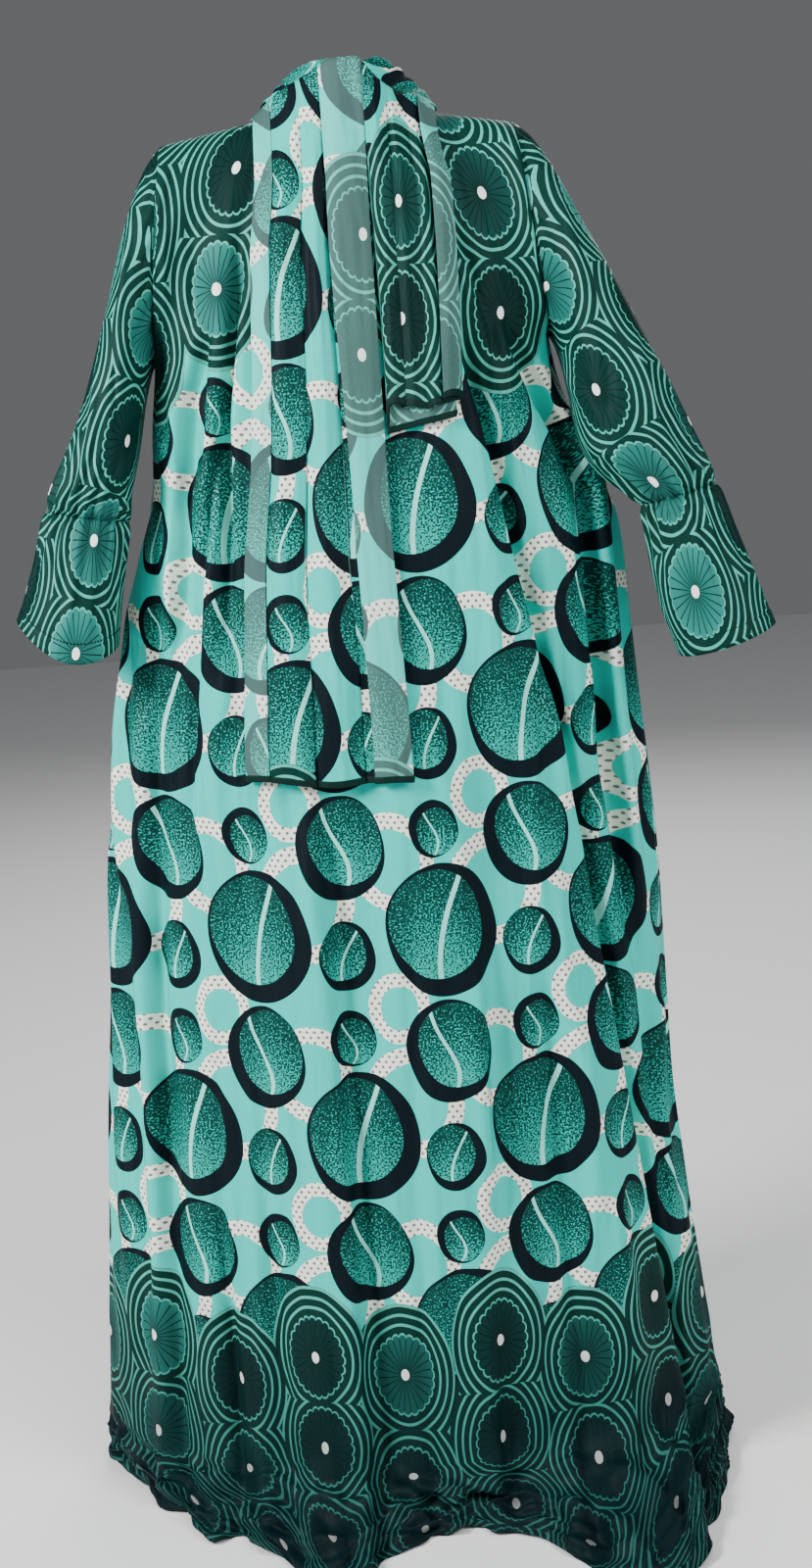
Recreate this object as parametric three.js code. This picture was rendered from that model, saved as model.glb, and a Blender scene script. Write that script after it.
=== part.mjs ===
import * as THREE from 'three';

// Long prayer dress, filled out and standing open, with its own scarf over the neck.
// Millimetres, +Z up, front toward -Y, left and right as seen from the front.
// The origin is the middle of the neck at shoulder height; heights below are above the floor.

const ORIGIN_HEIGHT = 1450;
const DRESS_WALL = 2.0;
const SLEEVE_WALL = 2.0;
const SCARF_WALL = 1.6;
const SEAM_GAP = 0.3;

const SHOULDER_HALF = 180;
const SHOULDER_HEIGHT = 1452;
const NECK_HALF = 90;
const NECK_RISE = 16;
const UNDERARM_HALF = 204;
const UNDERARM_HEIGHT = 1241;
const ARMHOLE_DEPTH = 55;
const NECK_SHARE = 1 / 3;
const POOL_HEIGHT = 60;
const ROUNDING = 1e-6;

const FRONT = { side: -1, depth: 'front', columns: 42, neckDrop: 0.32 };
const BACK = { side: 1, depth: 'back', columns: 24, neckDrop: 0.13 };
const YOKE_ROWS = 8;
const SLEEVE_COLUMNS = 32;

// How the panels are shaped between their sizes: a fold starts and ends softly and dies out toward
// the side seams, and the edge of the yoke turns more sharply toward the underarm.
const FOLD_EASE = { above: 30, start: 130, end: 200, side: 0.55, yoke: 3 };
const YOKE_TURN = { roundness: 0.9, shoulder: 6, underarm: 14 };

const COLOUR = {
  ground: { colour: 0x5fc2b3, roughness: 0.5, metalness: 0 },
  dark: { colour: 0x0f6a5c, roughness: 0.5, metalness: 0 },
};

function table(names, rows) {
  return rows.map((row) => Object.fromEntries(names.map((name, i) => [name, row[i]])));
}

// Half widths and depths of the dress from the underarm to the floor.
const OUTLINE = table(
  ['height', 'left', 'right', 'front', 'back', 'bend'],
  [
    [1241, 204, 204, 108, 96, 1.0],
    [1190, 207, 207, 113, 100, 1.0],
    [1150, 209, 217, 117, 103, 1.0],
    [1105, 211, 238, 121, 106, 1.0],
    [1064, 225, 262, 126, 109, 1.0],
    [1024, 245, 270, 130, 112, 1.05],
    [983, 259, 272, 134, 115, 1.1],
    [899, 269, 278, 139, 119, 1.15],
    [814, 287, 286, 144, 123, 1.15],
    [684, 305, 295, 151, 129, 1.2],
    [551, 317, 297, 157, 134, 1.25],
    [415, 333, 299, 162, 139, 1.3],
    [275, 345, 312, 167, 144, 1.35],
    [130, 358, 328, 170, 148, 1.4],
    [60, 363, 334, 172, 150, 1.4],
  ],
);

const SKIRT_HEIGHTS = [
  1195, 1150, 1105, 1055, 1000, 940, 880, 810, 740, 670, 600, 530, 460, 390, 320, 250, 180, 115, 60,
];

// Hanging folds: a line through three points, its half breadth and how far it stands out (+) or in (-).
const FOLD_COLUMNS = ['x1', 'h1', 'x2', 'h2', 'x3', 'h3', 'breadth', 'stand'];
const FRONT_FOLDS = table(FOLD_COLUMNS, [
  [111, 1270, 201, 739, 292, 60, 20, -15],
  [78, 1240, 166, 739, 250, 60, 26, 12],
  [150, 1290, 229, 1087, 256, 560, 17, -12],
  [178, 1270, 250, 1050, 276, 520, 15, 8],
  [-103, 1380, -133, 1137, -150, 800, 17, -11],
  [-120, 1370, -158, 1137, -180, 820, 16, 8],
  [-136, 1300, -183, 1094, -220, 760, 16, -10],
  [-200, 1010, -236, 700, -262, 240, 24, -9],
  [-92, 760, -98, 420, -101, 60, 34, 12],
  [-150, 820, -160, 400, -166, 60, 24, -9],
  [-30, 900, -34, 420, -38, 60, 26, -8],
  [60, 1120, 36, 620, 34, 60, 34, 7],
  [118, 860, 110, 420, 96, 60, 26, -8],
  [190, 520, 204, 280, 206, 60, 30, 12],
]);
const BACK_FOLDS = table(FOLD_COLUMNS, [
  [-60, 1330, -96, 800, -120, 60, 30, 13],
  [-102, 1280, -146, 800, -168, 60, 26, -13],
  [12, 1360, -12, 760, -30, 60, 30, -12],
  [46, 1300, 54, 760, 66, 60, 32, 13],
  [96, 1290, 128, 780, 140, 60, 28, -12],
  [150, 1180, 196, 700, 214, 60, 28, 11],
  [-160, 1150, -214, 660, -232, 60, 26, 10],
]);

// Hem on the floor: share across the panel and where the edge lies.
const FRONT_HEM = table(['across', 'x', 'y'], [
  [-1.0, -370, 0],
  [-0.86, -346, -26],
  [-0.74, -318, -72],
  [-0.62, -280, -135],
  [-0.5, -236, -204],
  [-0.44, -217, -188],
  [-0.34, -168, -226],
  [-0.24, -120, -302],
  [-0.18, -98, -318],
  [-0.08, -40, -246],
  [0.08, 39, -200],
  [0.22, 112, -232],
  [0.33, 160, -300],
  [0.42, 206, -364],
  [0.55, 270, -312],
  [0.66, 300, -222],
  [0.78, 322, -140],
  [0.9, 334, -60],
  [1.0, 341, 0],
]);
const BACK_HEM = table(['across', 'x', 'y'], [
  [-1.0, -370, 0],
  [-0.8, -352, 74],
  [-0.6, -300, 170],
  [-0.42, -216, 232],
  [-0.26, -140, 262],
  [-0.08, -42, 214],
  [0.1, 52, 206],
  [0.28, 138, 258],
  [0.45, 214, 240],
  [0.62, 282, 164],
  [0.82, 328, 76],
  [1.0, 341, 0],
]);

// Cloth lying on the floor, from the last standing row out to the hem: where there is much of it
// it slopes down evenly, where there is little it buckles out and in.
const POOL = table(['along', 'high', 'buckle', 'buckleHigh'], [
  [0.06, 51, 9, 51],
  [0.16, 44, 17, 42],
  [0.32, 36, 7, 33],
  [0.5, 27, -3, 24],
  [0.7, 18, 9, 17],
  [0.87, 9, 7, 8],
  [1.0, 2.4, 0, 2.4],
]);
const POOL_LITTLE = 20;
const POOL_MUCH = 120;
const POOL_SWELL = { low: 0.9, more: 0.16 };
const POOL_WAVE = { high: 0.12, around: 21, along: 4 };
const BUCKLE_SHARE = { side: 0.35, middle: 0.65 };

// Sleeves and cuffs: outer and inner edge of each ring as seen from the front, half depth,
// how far forward its middle lies, how far the front and back of the ring drop, and gather depth.
const RING_COLUMNS = ['outX', 'outH', 'inX', 'inH', 'deep', 'forward', 'dropFront', 'dropBack', 'gather'];
const LEFT_SLEEVE = table(RING_COLUMNS, [
  [180, 1452, 204, 1241, 55, 0, 0, 0, 0],
  [201, 1426, 209, 1229, 58, 3, 0, 0, 0],
  [217, 1390, 214, 1213, 59, 8, 0, 0, 0],
  [232, 1347, 219, 1194, 58, 14, 0, 0, 0],
  [244, 1304, 223, 1172, 56, 20, 0, 0, 0],
  [257, 1265, 227, 1151, 54, 26, 0, 0, 0],
  [271, 1222, 232, 1129, 52, 32, 0, 0, 0],
  [287, 1181, 238, 1110, 49, 38, 0, 0, 0.6],
  [302, 1147, 241, 1094, 45, 43, 0, 0, 1.6],
  [317, 1117, 243, 1085, 40, 47, 0, 0, 2.6],
  [325, 1095, 244, 1078, 36, 50, 0, 0, 3.4],
]);
const RIGHT_SLEEVE = table(RING_COLUMNS, [
  [180, 1452, 204, 1241, 55, 0, 0, 0, 0],
  [202, 1433, 210, 1231, 58, 8, 0, 0, 0],
  [223, 1394, 215, 1212, 60, 20, 0, 0, 0],
  [242, 1352, 219, 1191, 60, 32, 0, 0, 0],
  [262, 1312, 222, 1166, 58, 42, 0, 0, 0],
  [280, 1272, 224, 1142, 56, 52, 0, 0, 0],
  [298, 1231, 228, 1122, 54, 62, 0, 0, 0],
  [317, 1191, 236, 1104, 51, 70, 0, 0, 0.6],
  [333, 1150, 250, 1090, 46, 76, 0, 0, 1.6],
  [349, 1110, 270, 1076, 40, 81, 0, 0, 2.6],
  [360, 1079, 286, 1061, 35, 84, 0, 0, 3.4],
]);
const LEFT_CUFF = table(RING_COLUMNS, [
  [325, 1095, 244, 1078, 36, 50, 0, 0, 3.4],
  [333, 1074, 247, 1055, 42, 52, 1, 1, 2.2],
  [343, 1040, 252, 1024, 46, 55, 5, 3, 1.2],
  [354, 1009, 257, 989, 48, 58, 13, 7, 0.4],
  [364, 985, 263, 951, 48, 60, 26, 14, 0],
]);
const RIGHT_CUFF = table(RING_COLUMNS, [
  [360, 1079, 286, 1061, 35, 84, 0, 0, 3.4],
  [371, 1053, 289, 1036, 40, 85, 0, 1, 2.2],
  [383, 1018, 292, 996, 45, 87, 1, 4, 1.2],
  [400, 972, 301, 948, 47, 89, 2, 9, 0.4],
  [414, 932, 315, 905, 46, 90, 3, 16, 0],
]);

// Scarf ends: edges against height.
const LONG_END = table(['height', 'left', 'right'], [
  [804, -139, 34],
  [841, -138, 34],
  [1032, -123, 29],
  [1124, -109, 28.5],
  [1210, -101, 28.5],
  [1288, -97, 28.5],
  [1338, -94, 28.2],
  [1404, -84, 27.4],
  [1464, -81, 27.2],
  [1480, -81, 27.2],
]);
const SHORT_END = table(['height', 'left', 'right'], [
  [1150, 32, 109],
  [1185, 32, 109],
  [1264, 32, 112],
  [1338, 31, 113],
  [1404, 30, 112],
  [1464, 30, 103],
  [1480, 30, 100],
]);
const LONG_BOTTOM = { left: 812, right: 804 };
const SHORT_TUCK = 12;
const SHORT_BOTTOM = { front: 1176, back: 1154, layerRise: 4 };
const LONG_TOP = { left: -81, right: 27, rows: 16 };
const SHORT_TOP = { left: 29.5, right: 102, rows: 9 };
const CHEST_HEIGHT = 1395;
const THROAT_CURVE = 0.75;
const EDGE_SETTLE = 90;

// Cross-sections of the scarf ends: share across, layer toward the viewer, standing of the pleats.
const LAYER = 3.6;
const SCARF_CLEAR = 5.5;
const BEHIND = 0.6;
const PLEAT_SWAY = { mean: 0.55, swing: 0.45, turn: 2.4 };
const NECK_SWELL = 6;
const NECK_PLEAT = 0.85;
const NECK_JOIN = 3 * SEAM_GAP;
const LONG_SECTION = table(['across', 'layer', 'pleat'], [
  [0.15, 1, 0],
  [0.09, 1, 0],
  [0.025, 1, 0],
  [0.0, 0.5, 0],
  [0.025, 0, 0],
  [0.1, 0, 0],
  [0.18, 0, 0],
  [0.23, 0, 5],
  [0.28, 0, 1],
  [0.34, 0, 0],
  [0.4, 0, 6],
  [0.45, 0, 1],
  [0.52, 0, 0],
  [0.57, 0, 6],
  [0.62, 0, 0],
  [0.68, 0, 1],
  [0.73, 0, 5],
  [0.78, 0, 0],
  [0.83, 0, 0],
  [0.9, 0, 0],
  [0.975, 0, 0],
  [1.0, 0.5, 0],
  [0.975, 1, 0],
  [0.91, 1, 0],
  [0.85, 1, 0],
]);
const SHORT_SECTION = table(['across', 'layer', 'pleat'], [
  [0.9, 0, 0],
  [0.65, 0, 0],
  [0.4, 0, 0],
  [0.2, 0, 0],
  [0.04, 0, 0],
  [0.0, 0.5, 0],
  [0.04, 1, 0],
  [0.16, 1, 3],
  [0.28, 1, 0],
  [0.4, 1, 4],
  [0.52, 1, 0],
  [0.64, 1, 3],
  [0.78, 1, 0],
  [0.95, 1, 0],
  [1.0, 1.5, 0],
  [0.95, 2, 0],
  [0.85, 2, 0],
  [0.74, 2, 0],
]);

// Top line of the scarf at the throat, and its way round the back of the neck.
const TOP_LINE = table(['x', 'height', 'forward'], [
  [-81, 1476, 6],
  [-55, 1495, 22],
  [-22, 1510, 36],
  [-4, 1521, 43],
  [27, 1522, 46],
  [44, 1501, 40],
  [62, 1487, 30],
  [86, 1484, 18],
  [103, 1470, 6],
]);
const NECK_PATH = table(['outX', 'outY', 'outH', 'inX', 'inY', 'inH'], [
  [-88, 18, 1473, -12, -34, 1523],
  [-78, 37, 1466, -36, -14, 1518],
  [-58, 50, 1460, -34, 10, 1514],
  [-28, 57, 1456, -18, 26, 1512],
  [8, 59, 1455, 6, 31, 1512],
  [44, 57, 1456, 30, 27, 1512],
  [74, 47, 1461, 44, 12, 1514],
  [96, 31, 1467, 50, -10, 1518],
  [107, 14, 1472, 46, -28, 1523],
]);

// Columns of the two sections that carry on round the neck, from the outer edge to the throat.
const NECK_LONG = { first: 4, last: 20 };
const NECK_SHORT = { first: 6, last: 13 };

const lerp = (a, b, t) => a + (b - a) * t;
const clamp = (v, low, high) => Math.min(high, Math.max(low, v));
const smooth = (t) => {
  const c = clamp(t, 0, 1);
  return c * c * (3 - 2 * c);
};

function at(rows, key, name, value) {
  const up = rows[0][key] < rows[rows.length - 1][key];
  const list = up ? rows : [...rows].reverse();
  if (value <= list[0][key]) return list[0][name];
  for (let i = 1; i < list.length; i += 1) {
    const a = list[i - 1];
    const b = list[i];
    if (value <= b[key]) return lerp(a[name], b[name], (value - a[key]) / (b[key] - a[key]));
  }
  return list[list.length - 1][name];
}

function foldLine(fold, height) {
  if (height >= fold.h2) {
    return lerp(fold.x2, fold.x1, clamp((height - fold.h2) / (fold.h1 - fold.h2), 0, 1.2));
  }
  return lerp(fold.x2, fold.x3, clamp((fold.h2 - height) / (fold.h2 - fold.h3), 0, 1.2));
}

function foldStand(folds, x, height) {
  let sum = 0;
  for (const fold of folds) {
    const off = (x - foldLine(fold, height)) / fold.breadth;
    const top = smooth((fold.h1 + FOLD_EASE.above - height) / FOLD_EASE.start);
    const reachesFloor = fold.h3 <= POOL_HEIGHT;
    const low = reachesFloor ? 1 : smooth((height - fold.h3 + FOLD_EASE.above) / FOLD_EASE.end);
    sum += fold.stand * Math.exp(-off * off) * top * low;
  }
  return sum;
}

// Dress surface from the sizes above, as a point in true heights.
function skirtPoint(face, across, height) {
  const turn = across * Math.PI / 2;
  const half = at(OUTLINE, 'height', across < 0 ? 'left' : 'right', height);
  const depth = at(OUTLINE, 'height', face.depth, height);
  const bend = at(OUTLINE, 'height', 'bend', height);
  const cosine = Math.max(Math.cos(turn), 0);
  const x = half * Math.sin(turn);
  const folds = face === FRONT ? FRONT_FOLDS : BACK_FOLDS;
  const stand = foldStand(folds, x, height) * smooth(cosine / FOLD_EASE.side);
  return new THREE.Vector3(x, face.side * (depth * cosine ** bend + stand), height);
}

const shoulderTop = (x) => SHOULDER_HEIGHT
  + NECK_RISE * (SHOULDER_HALF - Math.abs(x)) / (SHOULDER_HALF - NECK_HALF);

function yokeAt(face, across, share) {
  const turn = across * Math.PI / 2;
  const sine = Math.sin(turn);
  const cosine = Math.max(Math.cos(turn), 0);
  const x = lerp(SHOULDER_HALF, UNDERARM_HALF, share) * sine;
  const height = lerp(shoulderTop(SHOULDER_HALF * sine), UNDERARM_HEIGHT, share);
  const round = Math.acos(clamp(1 - 2 * share, -1, 1));
  const edge = ARMHOLE_DEPTH * Math.sin(round);
  const depth = OUTLINE[0][face.depth] * Math.sin(round / 2) ** YOKE_TURN.roundness;
  const folds = face === FRONT ? FRONT_FOLDS : BACK_FOLDS;
  const fade = smooth(cosine / FOLD_EASE.side) * smooth(share * FOLD_EASE.yoke);
  const stand = foldStand(folds, x, height) * fade;
  const sharpness = YOKE_TURN.shoulder + YOKE_TURN.underarm * share * share;
  const y = depth * cosine + edge * Math.abs(sine) ** sharpness + stand;
  return new THREE.Vector3(x, face.side * y, height);
}

function yokePoint(face, across, step) {
  const neck = 2 * Math.sin(across * Math.PI / 2);
  const inNeck = Math.abs(across) < NECK_SHARE - ROUNDING;
  const start = inNeck ? face.neckDrop * Math.sqrt(Math.max(1 - neck * neck, 0)) : 0;
  const share = start + (1 - start) * (1 - Math.cos(Math.PI * step / YOKE_ROWS)) / 2;
  return yokeAt(face, across, share);
}

function poolPoint(face, across, row) {
  const base = skirtPoint(face, across, POOL_HEIGHT);
  const hemTable = face === FRONT ? FRONT_HEM : BACK_HEM;
  const hemX = at(hemTable, 'across', 'x', across);
  const hemY = at(hemTable, 'across', 'y', across);
  const spread = Math.hypot(hemX - base.x, hemY - base.y);
  const much = smooth((spread - POOL_LITTLE) / POOL_MUCH);
  const foot = OUTLINE[OUTLINE.length - 1];
  const half = across < 0 ? foot.left : foot.right;
  const outX = base.x / (half * half);
  const outY = base.y / (foot.front * foot.front);
  const norm = Math.hypot(outX, outY) || 1;
  const middle = Math.cos(across * Math.PI / 2);
  const buckle = (1 - much) * row.buckle * (BUCKLE_SHARE.side + BUCKLE_SHARE.middle * middle);
  const turn = across * POOL_WAVE.around + row.along * POOL_WAVE.along;
  const wave = 1 + POOL_WAVE.high * Math.sin(turn) * (1 - row.along);
  return new THREE.Vector3(
    lerp(base.x, hemX, row.along) + buckle * outX / norm,
    lerp(base.y, hemY, row.along) + buckle * outY / norm,
    lerp(row.buckleHigh, row.high * (POOL_SWELL.low + POOL_SWELL.more * much), much) * wave,
  );
}

function dressRows(face) {
  const across = [];
  for (let i = 0; i <= face.columns; i += 1) across.push(1 - 2 * i / face.columns);
  const rows = [];
  for (let step = 0; step <= YOKE_ROWS; step += 1) rows.push(across.map((a) => yokePoint(face, a, step)));
  for (const height of SKIRT_HEIGHTS) rows.push(across.map((a) => skirtPoint(face, a, height)));
  for (const row of POOL) rows.push(across.map((a) => poolPoint(face, a, row)));
  if (face === BACK) rows.forEach((row) => row.reverse());
  return rows;
}

function gridNormals(rows, closed) {
  const down = rows.length - 1;
  const wide = rows[0].length;
  return rows.map((row, j) => row.map((_, i) => {
    const left = closed ? row[(i + wide - 1) % wide] : row[Math.max(i - 1, 0)];
    const right = closed ? row[(i + 1) % wide] : row[Math.min(i + 1, wide - 1)];
    const above = rows[Math.max(j - 1, 0)][i];
    const below = rows[Math.min(j + 1, down)][i];
    const u = new THREE.Vector3().subVectors(right, left);
    const v = new THREE.Vector3().subVectors(below, above);
    return u.cross(v).normalize();
  }));
}

// A closed wall round a grid of points: each point moved half the wall out and in along its normal.
function wall(rows, normals, thickness, closed) {
  const high = rows.length;
  const wide = rows[0].length;
  const positions = [];
  for (const half of [thickness / 2, -thickness / 2]) {
    for (let j = 0; j < high; j += 1) {
      for (let i = 0; i < wide; i += 1) {
        const p = rows[j][i].clone().addScaledVector(normals[j][i], half);
        positions.push(p.x, p.y, p.z - ORIGIN_HEIGHT);
      }
    }
  }
  const id = (layer, j, i) => layer * high * wide + j * wide + (i % wide);
  const faces = [];
  const quad = (a, b, c, d) => faces.push(a, b, c, a, c, d);
  const spans = closed ? wide : wide - 1;
  for (let j = 0; j < high - 1; j += 1) {
    for (let i = 0; i < spans; i += 1) {
      quad(id(0, j, i), id(0, j, i + 1), id(0, j + 1, i + 1), id(0, j + 1, i));
      quad(id(1, j, i), id(1, j + 1, i), id(1, j + 1, i + 1), id(1, j, i + 1));
    }
  }
  for (let i = 0; i < spans; i += 1) {
    quad(id(0, 0, i), id(1, 0, i), id(1, 0, i + 1), id(0, 0, i + 1));
    quad(id(0, high - 1, i), id(0, high - 1, i + 1), id(1, high - 1, i + 1), id(1, high - 1, i));
  }
  if (!closed) {
    for (let j = 0; j < high - 1; j += 1) {
      quad(id(0, j, 0), id(0, j + 1, 0), id(1, j + 1, 0), id(1, j, 0));
      quad(id(0, j, wide - 1), id(1, j, wide - 1), id(1, j + 1, wide - 1), id(0, j + 1, wide - 1));
    }
  }
  const geometry = new THREE.BufferGeometry();
  geometry.setAttribute('position', new THREE.Float32BufferAttribute(positions, 3));
  geometry.setIndex(faces);
  geometry.computeVertexNormals();
  return geometry;
}

function piece(name, geometry, finish) {
  const material = new THREE.MeshStandardMaterial({
    color: finish.colour,
    roughness: finish.roughness,
    metalness: finish.metalness,
    side: THREE.DoubleSide,
  });
  const mesh = new THREE.Mesh(geometry, material);
  mesh.name = name;
  return mesh;
}

// Shared frame of an armhole: its middle, the unit line to its top, and its outward axis.
function armhole(sign) {
  const top = new THREE.Vector3(sign * SHOULDER_HALF, 0, SHOULDER_HEIGHT);
  const low = new THREE.Vector3(sign * UNDERARM_HALF, 0, UNDERARM_HEIGHT);
  const up = top.clone().sub(low);
  const half = up.length() / 2;
  up.normalize();
  const out = new THREE.Vector3(sign * up.z, 0, -sign * up.x);
  return { middle: top.add(low).multiplyScalar(0.5), up, half, out };
}

function armholeNormal(ring, point) {
  const rel = point.clone().sub(ring.middle);
  const along = rel.dot(ring.up) / (ring.half * ring.half);
  const deep = rel.y / (ARMHOLE_DEPTH * ARMHOLE_DEPTH);
  return ring.up.clone().multiplyScalar(along).add(new THREE.Vector3(0, deep, 0)).normalize();
}

// Keeps the wall of the dress on its own side of the armhole seams.
function trimToArmholes(row, normals, rings) {
  for (let i = 1; i < row.length - 1; i += 1) {
    const ring = rings[row[i].x > 0 ? 1 : -1];
    const reach = Math.abs(normals[i].dot(ring.out)) * DRESS_WALL / 2;
    const over = row[i].clone().sub(ring.middle).dot(ring.out) + reach + SEAM_GAP / 2;
    if (over > 0) row[i].addScaledVector(ring.out, -over);
  }
}

function dressPanel(face, name) {
  const rows = dressRows(face);
  const normals = gridNormals(rows, false);
  const wide = face.columns;
  const half = SEAM_GAP / 2;
  const rings = { 1: armhole(1), '-1': armhole(-1) };
  rows.forEach((row, j) => {
    for (const i of [0, wide]) {
      const sign = row[i].x > 0 ? 1 : -1;
      if (j <= YOKE_ROWS) {
        const ring = rings[sign];
        normals[j][i] = armholeNormal(ring, row[i]);
        row[i].addScaledVector(ring.out, -half);
      } else {
        normals[j][i].y = 0;
        normals[j][i].normalize();
      }
      if (j === 0 || j >= YOKE_ROWS) row[i].y = face.side * half;
    }
    if (j <= YOKE_ROWS) trimToArmholes(row, normals[j], rings);
  });
  rows[0].forEach((point, i) => {
    const beyondNeck = i > 0 && i < wide && Math.abs(1 - 2 * i / wide) > NECK_SHARE - ROUNDING;
    if (beyondNeck) {
      const slope = Math.sign(point.x) * NECK_RISE / (SHOULDER_HALF - NECK_HALF);
      normals[0][i].set(slope, 0, 1).normalize();
      point.y = face.side * half;
    }
  });
  return piece(name, wall(rows, normals, DRESS_WALL, false), COLOUR.ground);
}

function tubeRows(rings, sign) {
  return rings.map((ring) => {
    const row = [];
    const middle = new THREE.Vector3(
      sign * (ring.outX + ring.inX) / 2, -ring.forward, (ring.outH + ring.inH) / 2);
    const up = new THREE.Vector3(
      sign * (ring.outX - ring.inX) / 2, 0, (ring.outH - ring.inH) / 2);
    for (let k = 0; k < SLEEVE_COLUMNS; k += 1) {
      const turn = 2 * Math.PI * k / SLEEVE_COLUMNS;
      const radial = up.clone().multiplyScalar(Math.cos(turn));
      radial.y -= sign * ring.deep * Math.sin(turn);
      const front = radial.y < 0;
      const drop = (front ? ring.dropFront : ring.dropBack) * Math.sin(turn) ** 2;
      const unit = radial.clone().normalize();
      const point = middle.clone().add(radial);
      point.addScaledVector(unit, ring.gather * (k % 2 ? -1 : 1));
      point.z -= drop;
      row.push(point);
    }
    return row;
  });
}

function tubeEnd(rows, j) {
  const middle = new THREE.Vector3();
  rows[j].forEach((p) => middle.add(p));
  middle.multiplyScalar(1 / rows[j].length);
  const a = rows[j][0].clone().sub(middle);
  const b = rows[j][Math.floor(rows[j].length / 4)].clone().sub(middle);
  const axis = a.cross(b).normalize();
  return { middle, axis };
}

function sleeve(name, upperRings, cuffRings, sign, cuffName) {
  const upper = tubeRows(upperRings, sign);
  const lower = tubeRows(cuffRings, sign);
  const all = [...upper, ...lower.slice(1)];
  const normals = gridNormals(all, true);
  const ring = armhole(sign);
  upper[0].forEach((point, i) => {
    normals[0][i] = armholeNormal(ring, point);
    point.addScaledVector(ring.out, SEAM_GAP / 2);
  });
  const last = upper.length - 1;
  const end = tubeEnd(upper, last);
  const down = Math.sign(end.axis.z) * -1;
  end.axis.multiplyScalar(down);
  for (let i = 0; i < SLEEVE_COLUMNS; i += 1) {
    const n = normals[last][i];
    n.addScaledVector(end.axis, -n.dot(end.axis)).normalize();
    upper[last][i].addScaledVector(end.axis, -SEAM_GAP / 2);
    lower[0][i].addScaledVector(end.axis, SEAM_GAP / 2);
  }
  return [
    piece(name, wall(upper, normals.slice(0, last + 1), SLEEVE_WALL, true), COLOUR.dark),
    piece(cuffName, wall(lower, normals.slice(last), SLEEVE_WALL, true), COLOUR.dark),
  ];
}

// Front of the dress under the scarf, at any height up to the shoulders.
function dressFrontAt(x, height) {
  if (height >= UNDERARM_HEIGHT) {
    let sine = x / SHOULDER_HALF;
    let share = 0;
    for (let k = 0; k < 4; k += 1) {
      const top = shoulderTop(SHOULDER_HALF * sine);
      share = clamp((top - height) / (top - UNDERARM_HEIGHT), 0, 1);
      sine = clamp(x / lerp(SHOULDER_HALF, UNDERARM_HALF, share), -1, 1);
    }
    return yokeAt(FRONT, Math.asin(sine) * 2 / Math.PI, share).y;
  }
  const half = at(OUTLINE, 'height', x < 0 ? 'left' : 'right', height);
  const across = Math.asin(clamp(x / half, -1, 1)) * 2 / Math.PI;
  return skirtPoint(FRONT, across, height).y;
}

function scarfFront(x, height, top) {
  const topY = -at(TOP_LINE, 'x', 'forward', x);
  const fall = clamp((top - height) / (top - CHEST_HEIGHT), 0, 1) ** THROAT_CURVE;
  const chest = dressFrontAt(x, CHEST_HEIGHT) - SCARF_CLEAR;
  const free = lerp(topY, chest, fall);
  if (height > shoulderTop(x) - 3) return free;
  return Math.min(free, dressFrontAt(x, height) - SCARF_CLEAR);
}

function scarfEnd(section, edges, bottomAt, tuckAt, topEdge) {
  const rows = [];
  for (let j = 0; j <= topEdge.rows; j += 1) {
    const v = j / topEdge.rows;
    rows.push(section.map((spot) => {
      const topX = lerp(topEdge.left, topEdge.right, spot.across);
      const top = at(TOP_LINE, 'x', 'height', topX);
      const height = lerp(top - tuckAt(spot), bottomAt(spot), v);
      const left = at(edges, 'height', 'left', height);
      const right = at(edges, 'height', 'right', height);
      const settle = smooth((top - height) / EDGE_SETTLE);
      const x = lerp(topX, lerp(left, right, spot.across), settle);
      const sway = PLEAT_SWAY.mean + PLEAT_SWAY.swing * Math.cos(v * PLEAT_SWAY.turn);
      const stand = spot.layer * LAYER + spot.pleat * sway;
      return new THREE.Vector3(x, scarfFront(x, height, top) - stand, height);
    }));
  }
  return { rows, normals: gridNormals(rows, false) };
}

function scarfPiece(name, grid, finish) {
  return piece(name, wall(grid.rows, grid.normals, SCARF_WALL, false), finish);
}

// The top row of a scarf end over its front layer, resampled to a count of columns.
function topRow(grid, first, last, count, gap) {
  const points = [];
  const normals = [];
  for (let k = 0; k <= count; k += 1) {
    const place = lerp(first, last, k / count);
    const i = Math.min(Math.floor(place), Math.max(first, last) - 1);
    const t = place - i;
    const up = grid.rows[0][i].clone().sub(grid.rows[1][i]).normalize();
    points.push(grid.rows[0][i].clone().lerp(grid.rows[0][i + 1], t).addScaledVector(up, gap));
    normals.push(grid.normals[0][i].clone().lerp(grid.normals[0][i + 1], t).normalize());
  }
  return { points, normals };
}

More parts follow.
